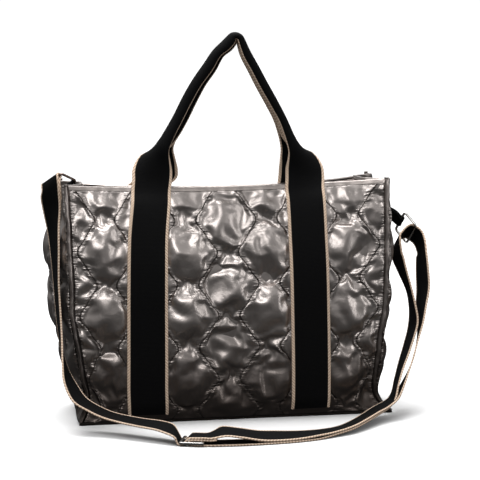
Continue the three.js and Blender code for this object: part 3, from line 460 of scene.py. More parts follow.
def wall_point(side, flat, z):
    """Inner face of the front (side -1) or back (side 1) wall."""
    flat, z = np.broadcast_arrays(np.asarray(flat, float), np.asarray(z, float))
    up = z / BAG_HEIGHT
    rows = FRONT_ROWS if side < 0 else BACK_ROWS
    edge = HALF_WIDTH * np.where(flat < 0, column(rows, "left", up), column(rows, "right", up))
    calm = HANDLE_SPACING + HANDLE_WIDTH / 2 + CALM_MARGIN
    reach = np.abs(flat)
    x = np.where(reach < calm, reach, calm + (reach - calm) * (edge - calm) / (HALF_WIDTH - calm))
    share = np.clip(reach / HALF_WIDTH, 0, 1)
    middle = HALF_DEPTH * column(rows, "middle", up)
    seam = HALF_DEPTH * column(rows, "seam", up)
    depth = middle + (seam - middle) * share**WALL_ROUNDNESS
    return np.stack([np.sign(flat) * x, side * depth, z], -1)


def lifted(surface, u, v, height):
    """Points of a surface moved outward at their own height."""
    step = 0.6
    du = surface(u + step, v) - surface(u - step, v)
    outward = unit(np.stack([du[..., 1], -du[..., 0], np.zeros_like(du[..., 0])], -1))
    return surface(u, v) + outward * np.asarray(height)[..., None]


def corner_point(hand, side, z):
    return wall_point(side, np.full(np.shape(z), hand * HALF_WIDTH), z)


def between_welts(point, side):
    clear = WELT_IN + WELT_GAP
    low = corner_point(-1, side, point[..., 2])[..., 0] + clear
    high = corner_point(1, side, point[..., 2])[..., 0] - clear
    point[..., 0] = np.clip(point[..., 0], low, high)
    return point


def lifted_wall(side, flat, z, height):
    flat, z = np.broadcast_arrays(np.asarray(flat, float), np.asarray(z, float))
    surface = lambda u, v: wall_point(side, u if side < 0 else -u, v)
    return between_welts(lifted(surface, flat if side < 0 else -flat, z, height), side)


def rim_height(flat):
    share = np.abs(flat) / HALF_WIDTH
    return BAG_HEIGHT - HEM_HEIGHT - RIM_SAG * (1 - share * share)


def strap_centre(leg, z):
    return HANDLE_SPACING * column(STRAP_ROWS, leg, z / BAG_HEIGHT)


def pressed(flat, z):
    """1 under the handle webbing, 0 beside it."""
    centre = np.where(flat < 0, strap_centre("left", z), strap_centre("right", z))
    return 1 - smooth((np.abs(flat - centre) - HANDLE_WIDTH / 2 - PRESS_MARGIN) / PRESS_FADE)


def edge_fade(z, top):
    low = np.clip((z - BASE_THICKNESS) / FADE_LOW, 0, 1)
    high = np.clip((top - z) / FADE_HIGH, 0, 1)
    return np.sqrt(low * high)


def side_point(hand, share, z):
    """Inner face of a side wall: share 0 at the front seam to 1 at the back seam."""
    share, z = np.broadcast_arrays(np.asarray(share, float), np.asarray(z, float))
    up = z / BAG_HEIGHT
    rows = LEFT_ROWS if hand < 0 else RIGHT_ROWS
    front, back = corner_point(hand, -1, z), corner_point(hand, 1, z)
    middle = np.abs(2 * share - 1)
    lobe = np.clip(1 - middle**SIDE_ROUNDNESS, 0, 1) ** (1 / SIDE_ROUNDNESS)
    out = HALF_DEPTH * mix(column(rows, "front", up), column(rows, "back", up), share) * lobe
    fold = HALF_DEPTH * column(rows, "tuck", up) * (1 - smooth((middle - TUCK_HALF) / TUCK_FADE))
    point = mix(front, back, share[..., None])
    point[..., 0] += hand * (out - fold)
    return point


def behind_welt(point, hand):
    clear = WELT_IN + WELT_GAP
    low = corner_point(hand, -1, point[..., 2])[..., 1] + clear
    high = corner_point(hand, 1, point[..., 2])[..., 1] - clear
    point[..., 1] = np.clip(point[..., 1], low, high)
    return point


# meshes

def linked(name, data):
    """New object in the scene for a mesh, a curve, a light or a camera."""
    thing = bpy.data.objects.new(name, data)
    bpy.context.scene.collection.objects.link(thing)
    return thing


def evaluated(thing):
    return thing.evaluated_get(bpy.context.evaluated_depsgraph_get())


def settled(thing):
    """Mesh of an object with its modifiers carried out; the object itself goes."""
    mesh = bpy.data.meshes.new_from_object(evaluated(thing))
    bpy.data.objects.remove(thing)
    return mesh


def numbers(items, name, wide, kind=float):
    """One property of every item of a mesh, as rows of numbers."""
    values = np.empty(len(items) * wide, kind)
    items.foreach_get(name, values)
    return values.reshape(-1, wide) if wide > 1 else values


def make_object(name, points, faces, edges=()):
    mesh = bpy.data.meshes.new(name)
    mesh.from_pydata((np.asarray(points) * MM).tolist(), list(edges), [tuple(f) for f in faces])
    mesh.update()
    return linked(name, mesh)


def grid_faces(rows, columns, first=0, flip=False):
    r, c = np.meshgrid(np.arange(rows - 1), np.arange(columns - 1), indexing="ij")
    a = first + r * columns + c
    quads = np.stack([a, a + 1, a + columns + 1, a + columns], -1).reshape(-1, 4)
    return (quads[:, ::-1] if flip else quads).tolist()


def ribbon_faces(points, near, far):
    """Triangles between two rows of points that start and end side by side."""
    faces = []
    i = j = 0
    apart = lambda a, b: np.linalg.norm(points[a] - points[b])
    while i < len(near) - 1 or j < len(far) - 1:
        near_open, far_open = i < len(near) - 1, j < len(far) - 1
        if not far_open or (near_open and apart(near[i + 1], far[j]) <= apart(near[i], far[j + 1])):
            faces.append((near[i], near[i + 1], far[j]))
            i += 1
        else:
            faces.append((near[i], far[j + 1], far[j]))
            j += 1
    return faces


def face_outward(piece):
    """Turns a closed mesh so that its faces point outward."""
    mesh = piece.data
    mesh.calc_loop_triangles()
    co = numbers(mesh.vertices, "co", 3)
    corners = numbers(mesh.loop_triangles, "vertices", 3, int)
    a, b, c = (co[corners[:, k]] for k in range(3))
    if np.einsum("ij,ij->i", a, np.cross(b, c)).sum() < 0:
        mesh.flip_normals()


def shade_smooth(piece, angle=None):
    piece.data.shade_smooth()
    if angle is not None:
        piece.data.set_sharp_from_angle(angle=math.radians(angle))


def set_uv(piece, uv):
    """uv holds a pair in metres for each vertex."""
    layer = piece.data.uv_layers.new(name="cloth")
    loops = numbers(piece.data.loops, "vertex_index", 1, int)
    layer.data.foreach_set("uv", np.asarray(uv, np.float32)[loops].ravel())


def set_numbers(piece, name, values):
    attribute = piece.data.attributes.new(name, "FLOAT", "POINT")
    attribute.data.foreach_set("value", np.asarray(values, np.float32).ravel())


def finish_piece(piece, look, slot, *nodes):
    piece.data.materials.clear()
    piece.data.materials.append(look)
    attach(piece, "root")
    if nodes:
        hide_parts(*nodes)
    return piece


# shader expressions

class Value:
    """A number that changes over the surface, with its arithmetic as shader nodes."""

    def __init__(self, look, socket):
        self.look, self.socket = look, socket

    def maths(self, operation, *others):
        inputs = dict(enumerate(others, 1))
        return self.look.node("ShaderNodeMath", {"operation": operation}, {0: self, **inputs})

    def __add__(self, other):
        return self.maths("ADD", other)

    def __mul__(self, other):
        return self.maths("MULTIPLY", other)

    def __rsub__(self, other):
        return (self * -1) + other

    def ridges(self, pitch):
        """Even ridges from 0 to 1, one to each pitch."""
        return (self * (2 * math.pi / pitch)).maths("SINE") * 0.5 + 0.5

    def between(self, low, high):
        """0 at low, 1 at high, smooth in between."""
        return self.look.node("ShaderNodeMapRange", {"interpolation_type": "SMOOTHSTEP"},
                              {"Value": self, "From Min": low, "From Max": high})

    __radd__, __rmul__ = __add__, __mul__


class Look:
    """A material and the nodes that it is worked out with."""

    def __init__(self, name):
        self.material = bpy.data.materials.new(name)
        self.material.use_nodes = True
        self.nodes = self.material.node_tree.nodes
        self.links = self.material.node_tree.links
        self.shader = self.nodes["Principled BSDF"]

    def node(self, kind, settings=None, inputs=None, output=0):
        made = self.nodes.new(kind)
        for key, value in (settings or {}).items():
            setattr(made, key, value)
        for key, value in (inputs or {}).items():
            if isinstance(value, Value):
                self.links.new(value.socket, made.inputs[key])
            else:
                made.inputs[key].default_value = value
        return Value(self, made.outputs[output])

    def place(self):
        return self.node("ShaderNodeTexCoord", output="Object")

    def cloth(self):
        return self.node("ShaderNodeUVMap", {"uv_map": "cloth"})

    def parts(self, vector):
        split = self.node("ShaderNodeSeparateXYZ", inputs={0: vector})
        return [Value(self, socket) for socket in split.socket.node.outputs]

    def stretched(self, vector, scale):
        return self.node("ShaderNodeMapping", inputs={"Vector": vector, "Scale": scale})

    def noise(self, vector, scale, detail=2.0, distortion=0.0):
        return self.node("ShaderNodeTexNoise", inputs={
            "Vector": vector, "Scale": scale, "Detail": detail, "Distortion": distortion})

    def number(self, name):
        return self.node("ShaderNodeAttribute", {"attribute_name": name}, output="Fac")

    def blend(self, share, first, second):
        return self.node("ShaderNodeMix", {"data_type": "RGBA"}, {0: share, 6: first, 7: second}, output=2)

    def bump(self, height, strength, distance, normal=None):
        inputs = {"Height": height, "Strength": strength, "Distance": distance}
        if normal is not None:
            inputs["Normal"] = normal
        return self.node("ShaderNodeBump", inputs=inputs)

    def shade(self, **inputs):
        for key, value in inputs.items():
            socket = self.shader.inputs[key.replace("_", " ").title().replace("Ior", "IOR")]
            if isinstance(value, Value):
                self.links.new(value.socket, socket)
            else:
                socket.default_value = value
        return self.material


def nylon_look(name, light, dark, roughness):
    """Shiny metallic nylon, gathered along its seams, with painted shade towards the bottom of the bag and in
    its stitch lines.
    """
    look = Look(name)
    place, cloth = look.place(), look.cloth()
    seam = look.number("seam")
    beside = 1 - seam.between(0.5, 7.0)
    ripple = look.noise(look.stretched(cloth, (60, 330, 1)), 1.0, 2.0, 0.4)
    crumple = look.noise(place, 55, 3.0, 0.6)
    thread_u, thread_v = (look.node("ShaderNodeTexWave", {"wave_type": "BANDS", "bands_direction": way},
                                    {"Vector": cloth, "Scale": 700.0}) for way in "XY")
    weave = look.bump(thread_u * thread_v, 0.06, 0.0002)
    soft = look.bump(crumple, 0.30, 0.0030, weave)
    normal = look.bump(ripple * beside, 0.75, 0.0032, soft)
    tone = look.noise(place, 18, 3.0)
    # painted shade: the colour fades from the dark colour below 1 cm to the light one above 12 cm, standing
    # in for the lower bag lying out of the light
    height = look.parts(place)[2]
    painted_lighting_by_height = height.between(0.01, 0.12)
    colour = look.blend(tone.between(0.35, 0.7), light, tuple(0.82 * c for c in light[:3]) + (1,))
    colour = look.blend(painted_lighting_by_height, dark, colour)
    # painted shade: within 1.6 mm of a stitch line the colour drops to 0.45 of the dark colour, standing in
    # for the shade in the quilting creases
    colour = look.blend(seam.between(0.0, 1.6), tuple(0.45 * c for c in dark[:3]) + (1,), colour)
    return look.shade(base_color=colour, metallic=0.9, roughness=roughness + 0.10 * tone, normal=normal)


def webbing_look(name, half, border):
    """Black ribbed webbing with a cream twilled border along both edges, with painted shade in the grooves of
    its weave.
    """
    look = Look(name)
    across, along = look.parts(look.cloth())[:2]
    reach = across.maths("ABSOLUTE")
    inside = (half - border) * MM
    cream = reach.between(inside - 0.0001, inside + 0.0002)
    rib = along.ridges(RIB_PITCH)
    grain = across.ridges(GRAIN_PITCH)
    twill = (along + reach).ridges(TWILL_PITCH)
    fuzz = look.noise(look.place(), 900, 2.0)
    # painted shade: the black ribs and the cream twill are coloured darker in the grooves of their weave, in
    # step with the bump below; the random fuzz in the cream is the thread's own tone
    black = look.blend(rib * grain, (0.0009, 0.0009, 0.0011, 1), (0.0026, 0.0026, 0.0030, 1))
    thread = look.blend(twill * (0.6 + 0.4 * fuzz), (0.46, 0.32, 0.23, 1), (0.93, 0.76, 0.60, 1))
    colour = look.blend(cream, black, thread)
    height = rib * grain * (1 - cream) * 0.5 + twill * cream
    normal = look.bump(height, 0.55, 0.0004)
    return look.shade(base_color=colour, roughness=0.75 + 0.15 * fuzz, normal=normal, specular_ior_level=0.12)


def metal_look(name, colour, roughness):
    """Plated wire with faint rubbed marks."""
    look = Look(name)
    place = look.place()
    marks = look.noise(look.stretched(place, (1, 1, 8)), 300, 3.0)
    tint = look.blend(marks, colour, tuple(0.8 * c for c in colour[:3]) + (1,))
    normal = look.bump(marks, 0.1, 0.0001)
    return look.shade(base_color=tint, metallic=1.0, roughness=roughness + 0.12 * marks, normal=normal)


def thread_look(name, light, dark):
    """Sewing thread with its twist."""
    look = Look(name)
    place = look.place()
    twist = look.noise(place, 1400, 1.0)
    normal = look.bump(twist, 0.4, 0.0002)
    return look.shade(base_color=look.blend(twist, dark, light), roughness=0.6 + 0.2 * twist, normal=normal)


# the second colour given to each nylon is its painted shade, reached towards the bottom of the bag; darkened
# further, it is also the painted shade in the stitch lines
PEWTER = nylon_look("pewter_nylon", (0.42, 0.38, 0.36, 1), (0.12, 0.100, 0.090, 1), 0.29)
TRIM = nylon_look("trim_nylon", (0.36, 0.32, 0.30, 1), (0.085, 0.070, 0.062, 1), 0.30)
# painted shade: the base nylon is made near-black so that it stands in for the shadow under the bag
PAINTED_SHADE_BASE_CLOTH = nylon_look("base_nylon", (0.09, 0.075, 0.068, 1), (0.05, 0.042, 0.038, 1), 0.38)
HANDLE_WEB = webbing_look("handle_webbing", HANDLE_WIDTH / 2, HANDLE_BORDER)
STRAP_WEB = webbing_look("strap_webbing", STRAP_WIDTH / 2, STRAP_BORDER)
# the tabs are plain black, so the border of theirs lies beyond their edges
TAB_WEB = webbing_look("tab_webbing", LEFT_TAB_WIDTH / 2 + 6, 0.5)
BRIGHT_METAL = metal_look("bright_metal", (0.70, 0.69, 0.67, 1), 0.18)
DARK_METAL = metal_look("dark_metal", (0.16, 0.115, 0.095, 1), 0.20)
DARK_THREAD = thread_look("dark_thread", (0.050, 0.042, 0.038, 1), (0.014, 0.011, 0.010, 1))


# padded walls

ROWS_TALL = 116
CHANNEL_COLUMNS = 20
EDGE_COLUMNS = 10
INNER_ROWS = 30
INNER_COLUMNS = 42
SIDE_INNER_COLUMNS = 18


def blown(piece, held, pressure, growth):
    """Positions in millimetres of a sheet of nylon blown out by its padding, held at its seams."""
    group = piece.vertex_groups.new(name="held")
    group.add(np.flatnonzero(held).tolist(), 1.0, "REPLACE")
    cloth = piece.modifiers.new("padding", "CLOTH")
    settings = cloth.settings
    settings.quality = 6
    settings.mass = 0.12
    settings.air_damping = 4
    settings.tension_stiffness = settings.compression_stiffness = 25
    settings.shear_stiffness = 8
    settings.bending_stiffness = 1.2
    settings.tension_damping = settings.compression_damping = settings.shear_damping = 8
    settings.bending_damping = 0.5
    settings.vertex_group_mass = "held"
    settings.pin_stiffness = 1
    settings.shrink_min = -growth
    settings.use_pressure = True
    settings.uniform_pressure_force = pressure
    settings.effector_weights.gravity = 0
    cloth.collision_settings.use_collision = False
    cloth.collision_settings.use_self_collision = False
    cloth.point_cache.frame_start, cloth.point_cache.frame_end = 1, CLOTH_FRAMES
    scene = bpy.context.scene
    for f in range(1, CLOTH_FRAMES + 1):
        scene.frame_set(f)
    co = numbers(evaluated(piece).data.vertices, "co", 3)
    piece.modifiers.remove(cloth)
    scene.frame_set(1)
    return co / MM


def uneven(shape, coarse, size):
    """Smooth random heights over a grid, the same in every run."""
    rows, columns = shape
    knots = rng.normal(0, size, (rows // coarse + 3, columns // coarse + 3))
    r, c = np.arange(rows) / coarse, np.arange(columns) / coarse
    i, j = r.astype(int), c.astype(int)
    a, b = smooth(r - i)[:, None], smooth(c - j)[None]
    low, high = (mix(knots[k][:, j], knots[k][:, j + 1], b) for k in (i, i + 1))
    return mix(low, high, a)


def softened(grid, share):
    """Folds rounded off by the wadding under the nylon, less beside the seams."""
    for _ in range(SOFT_ROUNDS):
        above, below, left, right = (np.roll(grid, way, axis) for axis in (0, 1) for way in (1, -1))
        grid = mix(grid, (above + below + left + right) / 4, SOFT_SHARE * share[..., None])
    return grid


def padded_wall(name, outer, inner, seam, held, uv, pressure, growth, limit):
    """Closed quilted wall: a blown outer layer over a plain inner one, and its outer grid."""
    rows, columns = outer.shape[:2]
    loose = sum(uneven((rows, columns), coarse, size) for coarse, size in UNEVENNESS)
    outer = outer + outward_of(outer) * (loose * ~held)[..., None]
    sheet = make_object(name, outer.reshape(-1, 3), grid_faces(rows, columns))
    flat = outer.reshape(-1, 3)
    moved = blown(sheet, held.ravel(), pressure, growth) - flat
    reach = np.linalg.norm(moved, axis=1, keepdims=True)
    outer = (flat + moved * np.minimum(1, limit / np.maximum(reach, 1e-6))).reshape(outer.shape)
    outer = softened(outer, np.where(held, 0, np.clip(seam / SOFT_REACH, SOFT_LEAST, 1)))
    sheet.data.vertices.foreach_set("co", (outer * MM).ravel())
    sheet.vertex_groups.clear()
    set_uv(sheet, uv.reshape(-1, 2) * MM)
    set_numbers(sheet, "seam", seam)
    finer = sheet.modifiers.new("finer", "SUBSURF")
    finer.levels = finer.render_levels = 1
    finer.boundary_smooth = "PRESERVE_CORNERS"
    return close_wall(name, settled(sheet), rows, columns, inner), outer


def close_wall(name, fine, rows, columns, inner):
    """Joins the fine outer sheet to the inner grid along their borders."""
    count = len(fine.vertices)
    inner_rows, inner_columns = inner.shape[:2]
    points = np.concatenate([numbers(fine.vertices, "co", 3) / MM, inner.reshape(-1, 3)])
    index = count + np.arange(inner_rows * inner_columns).reshape(inner_rows, inner_columns)
    corners = [0, columns - 1, rows * columns - 1, (rows - 1) * columns]
    sides = border_sides(border_loop(fine), corners)
    inner_sides = [index[0], index[:, -1], index[-1][::-1], index[::-1, 0]]
    faces = []
    for near, far in zip(inner_sides, sides):
        faces += ribbon_faces(points, list(near), list(far))
    faces += grid_faces(inner_rows, inner_columns, count, flip=True)
    polygons = [tuple(p.vertices) for p in fine.polygons]
    wall = make_object(name, points, polygons + faces)
    uv = np.zeros((count, 2))
    uv[numbers(fine.loops, "vertex_index", 1, int)] = numbers(fine.uv_layers["cloth"].data, "uv", 2)
    set_uv(wall, np.concatenate([uv, points[count:][:, [0, 2]] * MM]))
    seam = numbers(fine.attributes["seam"].data, "value", 1)
    set_numbers(wall, "seam", np.concatenate([seam, np.full(len(points) - count, FAR_FROM_SEAM)]))
    face_outward(wall)
    shade_smooth(wall)
    bpy.data.meshes.remove(fine)
    return wall


def border_loop(mesh):
    """Vertices along the border of an open sheet, in order."""
    uses = {}
    for polygon in mesh.polygons:
        ring = list(polygon.vertices)
        for a, b in zip(ring, ring[1:] + ring[:1]):
            uses[(a, b)] = True
    ahead = {a: b for a, b in uses if (b, a) not in uses}
    start = next(iter(ahead))
    loop = [start]
    while ahead[loop[-1]] != start:
        loop.append(ahead[loop[-1]])
    return loop


def border_sides(loop, corners):
    """The border cut at its four corners, in the corners' order."""
    doubled = loop + loop
    sides = []
    for a, b in zip(corners, corners[1:] + corners[:1]):
        first = doubled.index(a)
        last = doubled.index(b, first)
        if last - first > len(loop) * 0.75:
            raise RuntimeError("the border runs the other way round")
        sides.append(doubled[first:last + 1])
    return sides


def channels(lines, counts):
    """Positions across a wall between its seams, with the share and width of the channel at each."""
    at, share, width = [], [], []
    for (a, b), parts in zip(zip(lines, lines[1:]), counts):
        for p in range(parts):
            at.append(mix(a, b, p / parts))
            share.append(np.full_like(a, p / parts))
            width.append(b - a)
    at.append(lines[-1])
    share.append(np.zeros_like(lines[-1]))
    width.append(np.ones_like(lines[-1]))
    return np.stack(at, 1), np.stack(share, 1), np.stack(width, 1)


def row_heights(top):
    return mix(BASE_THICKNESS + GAP, top, np.linspace(0, 1, ROWS_TALL))


def quilt_wall(name, side):
    """Front or back wall with its wavy quilting, pressed flat under the handle webbing."""
    z = row_heights(BAG_HEIGHT)
    inset = HALF_WIDTH - WELT_IN - WELT_GAP
    ends = [np.full_like(z, -inset), np.full_like(z, inset)]
    lines = [ends[0]] + [stitch_line(k, z) for k in range(QUILT_LINES)] + [ends[1]]
    counts = [EDGE_COLUMNS] + [CHANNEL_COLUMNS] * (QUILT_LINES - 1) + [EDGE_COLUMNS]
    flat, share, width = channels(lines, counts)
    top = rim_height(flat)
    z = mix(BASE_THICKNESS + GAP, top, ((z - z[0]) / (z[-1] - z[0]))[:, None])
    press = pressed(flat, z)
    fade = edge_fade(z, top)
    puff = mix(START_PUFF * puff_between(share, width, PUFF), HANDLE_BED, press) * fade
    outer = lifted_wall(side, flat, z, WALL + puff)
    if side > 0:
        outer, flat, z = outer[:, ::-1], flat[:, ::-1], z[:, ::-1]
        share, width, press = share[:, ::-1], width[:, ::-1], press[:, ::-1]
    seam = np.minimum(share, 1 - share) * width
    seam = np.where(share == 0, 0, seam)
    held = (seam < 0.01) | (press > 0.6)
    held[[0, -1]] = held[:, [0, -1]] = True
    inner_z = np.linspace(0, 1, INNER_ROWS)[:, None]
    inner_flat = np.linspace(-inset, inset, INNER_COLUMNS)[None]
    heights = mix(BASE_THICKNESS + GAP, rim_height(inner_flat), inner_z)
    inner = between_welts(wall_point(side, inner_flat + 0 * inner_z, heights), side)
    if side > 0:
        inner = inner[:, ::-1]
    uv = np.stack([flat, z], -1)
    seam = np.where(press > 0.4, FAR_FROM_SEAM, seam)
    wall, grid = padded_wall(name, outer, inner, seam, held, uv, **WALL_CLOTH)
    return wall, grid, press


def quilt_side(name, hand):
    """Side wall with two wavy stitch lines."""
    depth = 2 * HALF_DEPTH
    inset = (WELT_IN + WELT_GAP) / depth
    z = row_heights(BAG_HEIGHT)
    lines = [np.full_like(z, inset), 0.5 + stitch_line(3, z) / depth, 0.5 + stitch_line(4, z) / depth,
             np.full_like(z, 1 - inset)]
    at, share, width = channels(lines, [CHANNEL_COLUMNS] * 3)
    width = width * depth
    z = np.broadcast_to(z[:, None], at.shape)
    surface = lambda u, v: side_point(hand, np.clip((-u if hand < 0 else u) / depth, 0, 1), v)
    puff = START_PUFF * puff_between(share, width, SIDE_PUFF) * edge_fade(z, BAG_HEIGHT)
    outer = behind_welt(lifted(surface, (-at if hand < 0 else at) * depth, z, WALL + puff), hand)
    seam = np.minimum(share, 1 - share) * width
    held = seam < 0.01
    held[[0, -1]] = held[:, [0, -1]] = True
    inner_at = np.linspace(inset, 1 - inset, SIDE_INNER_COLUMNS)[None]
    inner_z = row_heights(BAG_HEIGHT)[::4][:, None]
    inner_z = np.concatenate([inner_z, [[BAG_HEIGHT]]])
    inner = behind_welt(side_point(hand, inner_at + 0 * inner_z, inner_z + 0 * inner_at), hand)
    uv = np.stack([at * depth, z], -1)
    if hand < 0:
        outer, inner, uv, seam, held = (a[:, ::-1] for a in (outer, inner, uv, seam, held))
    return padded_wall(name, outer, inner, seam, held, uv, **SIDE_CLOTH)


# lofted trim

def loft(name, stations, ring=False):
    """Closed mesh with the same outline of points at every station."""
    stations = np.asarray(stations, float)
    count, around = stations.shape[:2]
    faces = []
    for s in range(count if ring else count - 1):
        here, ahead = s * around, (s + 1) % count * around
        for c in range(around):
            d = (c + 1) % around
            faces.append((here + c, here + d, ahead + d, ahead + c))
    if not ring:
        faces.append(tuple(range(around))[::-1])
        faces.append(tuple((count - 1) * around + c for c in range(around)))
    piece = make_object(name, stations.reshape(-1, 3), faces)
    face_outward(piece)
    return piece


def finish_trim(name, stations, angle):
    """Lofted strip of trim with its cloth coordinates, far from any seam."""
    piece = loft(name, stations)
    co = np.array([v.co for v in piece.data.vertices])
    set_uv(piece, np.stack([co[:, 0] + co[:, 1], co[:, 2]], 1))
    set_numbers(piece, "seam", np.full(len(co), FAR_FROM_SEAM))
    shade_smooth(piece, angle)
    return piece


def welt(name, hand, side):
    """Pinched corner seam: two folded edges side by side."""
    z = np.linspace(BASE_THICKNESS + GAP, BAG_HEIGHT + WELT_ABOVE, 150)
    corner = corner_point(hand, side, np.minimum(z, BAG_HEIGHT))
    corner[:, 2] = z
    out = unit([hand, side, 0.0])
    across = np.array([-out[1], out[0], 0.0])
    wobble = 0.35 * np.sin(z / 9.0 + hand) + 0.2 * np.sin(z / 3.7 + side)
    stations = []
    for k, at in enumerate(corner):
        swell = 1 + 0.12 * math.sin(z[k] / 5.1 + 2 * hand) + 0.05 * math.sin(z[k] / 1.9)
        stations.append([at + out * (d * swell) + across * (e + wobble[k] * max(0, d) / 4)
                         for d, e in WELT_OUTLINE])
    return finish_trim(name, stations, 60)


def hem(name, side):
    """Folded band along the rim of a wall."""
    inset = HALF_WIDTH - WELT_IN - WELT_GAP
    flat = np.linspace(-inset, inset, 140)
    low = rim_height(flat) + GAP
    high = rim_height(flat) + HEM_HEIGHT + (FRONT_HEM_RISE if side < 0 else BACK_HEM_RISE)
    stations = []
    for k, f in enumerate(flat):
        at = between_welts(wall_point(side, f, low[k]), side)
        above = between_welts(wall_point(side, f, high[k]), side)
        ripple = 0.25 * math.sin(f / 5.3) + 0.2 * math.sin(f / 2.1 + 1)
        out = side * (WALL + 0.3 + 0.3 * ripple)
        back = side * (WALL - HEM_THICKNESS)
        rim = high[k] + 0.25 * ripple
        ring = [(at, out * 0.96, low[k]), (at, back, low[k]), (above, back, rim - 1.2),
                (above, mix(back, out, 0.25), rim - 0.3), (above, mix(back, out, 0.5), rim),
                (above, mix(back, out, 0.8), rim - 0.4), (above, out, rim - 1.3)]
        stations.append([(foot[0], foot[1] + y, z) for foot, y, z in ring])
    return finish_trim(name, stations, 50)


def base(name):
    """Flat base with soft edges and pointed corners."""
    z = BASE_THICKNESS + GAP
    corners = [corner_point(h, s, np.array(z)) + np.array([h * WELT_OUT, s * WELT_OUT, 0])
               for h, s in ((-1, -1), (1, -1), (1, 1), (-1, 1))]
    outline = []
    for a, b in zip(corners, corners[1:] + corners[:1]):
        for t in np.arange(24) / 24:
            normal = unit([-(b - a)[1], (b - a)[0], 0])
            outline.append(mix(a, b, t) + normal * math.sin(math.pi * t))
    outline = np.array(outline)
    middle = outline.mean(0)
    stations = []
    for height, draw in ((0, 0.985), (0.3, 0.995), (1.2, 1.0),
                         (BASE_THICKNESS - 0.3, 0.998), (BASE_THICKNESS, 0.99)):
        ring = middle + (outline - middle) * draw
        ring[:, 2] = height
        stations.append(ring)
    return finish_trim(name, stations, 50)


# webbing

BAND_SHARES = np.concatenate([np.linspace(a, b, count) for a, b, count in (
    (-1, -0.93, 4), (-0.9, -0.72, 4), (-0.6, 0.6, 9), (0.72, 0.9, 4), (0.93, 1, 4))])


def woven_band(name, middle, width, thickness, border, look, slot, *nodes):
    """Closed webbing about a grid of middle points: rows along it, columns across it."""
    rows, columns = middle.shape[:2]
    along = np.gradient(middle, axis=0)
    across = np.gradient(middle, axis=1)
    normal = unit(np.cross(along, across))
    w = BAND_SHARES
    edge = border / (width / 2)
    bead = np.exp(-(((np.abs(w) - (1 - edge * 0.5)) / (edge * 0.45)) ** 2))
    outermost = np.clip((np.abs(w) - (1 - EDGE_ROUNDING)) / EDGE_ROUNDING, 0, 1)
    half = thickness / 2 * (1 + EDGE_BEAD * bead) * np.sqrt(np.clip(1 - outermost**2, 0.02, 1))
    upper = middle + normal * half[None, :, None]
    lower = middle - normal * half[None, :, None]
    points = np.concatenate([upper.reshape(-1, 3), lower.reshape(-1, 3)])
    count = rows * columns
    number = np.arange(count).reshape(rows, columns)
    faces = grid_faces(rows, columns) + grid_faces(rows, columns, count, flip=True)
    rim = list(number[0]) + list(number[1:, -1]) + list(number[-1, -2::-1]) + list(number[-2:0:-1, 0])
    faces += [(b, a, a + count, b + count) for a, b in zip(rim, rim[1:] + rim[:1])]
    piece = make_object(name, points, faces)
    steps = np.linalg.norm(np.diff(middle[:, columns // 2], axis=0), axis=1)
    length = np.concatenate([[0], np.cumsum(steps)])
    uv = np.stack(np.broadcast_arrays(w[None] * width / 2, length[:, None]), -1).reshape(-1, 2) * MM
    set_uv(piece, np.concatenate([uv, uv]))
    face_outward(piece)
    shade_smooth(piece, 70)
    return finish_piece(piece, look, slot, *nodes)


def folded_row(centre, width, outward, fold, slim, shares):
    """Webbing curled lengthwise by fold about its centre line."""
    half = HANDLE_WIDTH / 2
    angle = GRIP_WRAP * fold * shares
    radius = half / (GRIP_WRAP * max(fold, 1e-3))
    along = radius * np.sin(angle)
    inward = radius * (np.cos(angle) - 1)
    stretch = mix(1, GRIP_STRETCH, fold)
    flatten = mix(1, GRIP_FLATTEN, fold) * slim
    return centre + width * (along * stretch)[:, None] + outward * (inward * flatten)[:, None]


def handle_middle(side, shares):
    """Middle surface of one handle, from its left foot over the grip to its right foot."""
    def leg(name, turned):
        rows = []
        for up in np.linspace(HANDLE_START, 1, 26):
            flat_at = lambda z: strap_centre(name, z) + turned * HANDLE_WIDTH / 2 * shares
            top = rim_height(flat_at(np.full(len(shares), BAG_HEIGHT)))
            z = mix(BASE_THICKNESS + GAP, top, up)
            flat = flat_at(z)
            bed = WALL + HANDLE_BED * edge_fade(z, rim_height(flat)) + HANDLE_CLEARANCE
            rows.append(lifted_wall(side, flat, z, bed + HANDLE_THICKNESS / 2))
        return rows

    across, rise, lean = FRONT_LOOP["across"], FRONT_LOOP["rise"], FRONT_LOOP["lean"]
    if side > 0:
        leant = mix(BACK_LEAN["foot"], BACK_LEAN["grip"], np.clip(rise * BACK_LEAN["rising"], 0, 1))
        lean = leant - (lean - FRONT_LEAN) * BACK_LOOP_SPREAD
        across = across * BACK_LOOP_NARROW + BACK_LOOP_SHIFT
        rise = rise * BACK_LOOP_LOWER
    at = np.stack([HANDLE_SPACING * across, HALF_DEPTH * lean, BAG_HEIGHT - RIM_SAG + HANDLE_RISE * rise], 1)
    last = len(at) - 1
    rows = leg("left", 1)
    for k in range(len(at)):
        ahead, behind = at[min(k + 1, last)], at[max(k - 1, 0)]
        heading = unit(ahead - behind)
        turn = 0
        if 0 < k < last:
            turn = math.acos(np.clip(np.dot(unit(ahead - at[k]), unit(at[k] - behind)), -1, 1))
        away = -np.cross([0, 1, 0], heading)
        quarter = FRONT_LOOP["twist"][k] * math.pi / 2
        outward = np.array([0, side, 0]) * math.cos(quarter) + away * math.sin(quarter)
        outward = unit(outward - heading * np.dot(outward, heading))
        width = np.cross(heading, outward) * (1 if side < 0 else -1)
        slim = 1 - GRIP_SQUEEZE * turn
        rows.append(folded_row(at[k], width, outward, FRONT_LOOP["fold"][k], slim, shares))
    rows += leg("right", -1)[::-1]
    return through_stops(np.array(rows), 4.0)


def spots(rows):
    return np.stack([HALF_WIDTH * rows["across"], HALF_DEPTH * rows["depth"], BAG_HEIGHT * rows["up"]], 1)


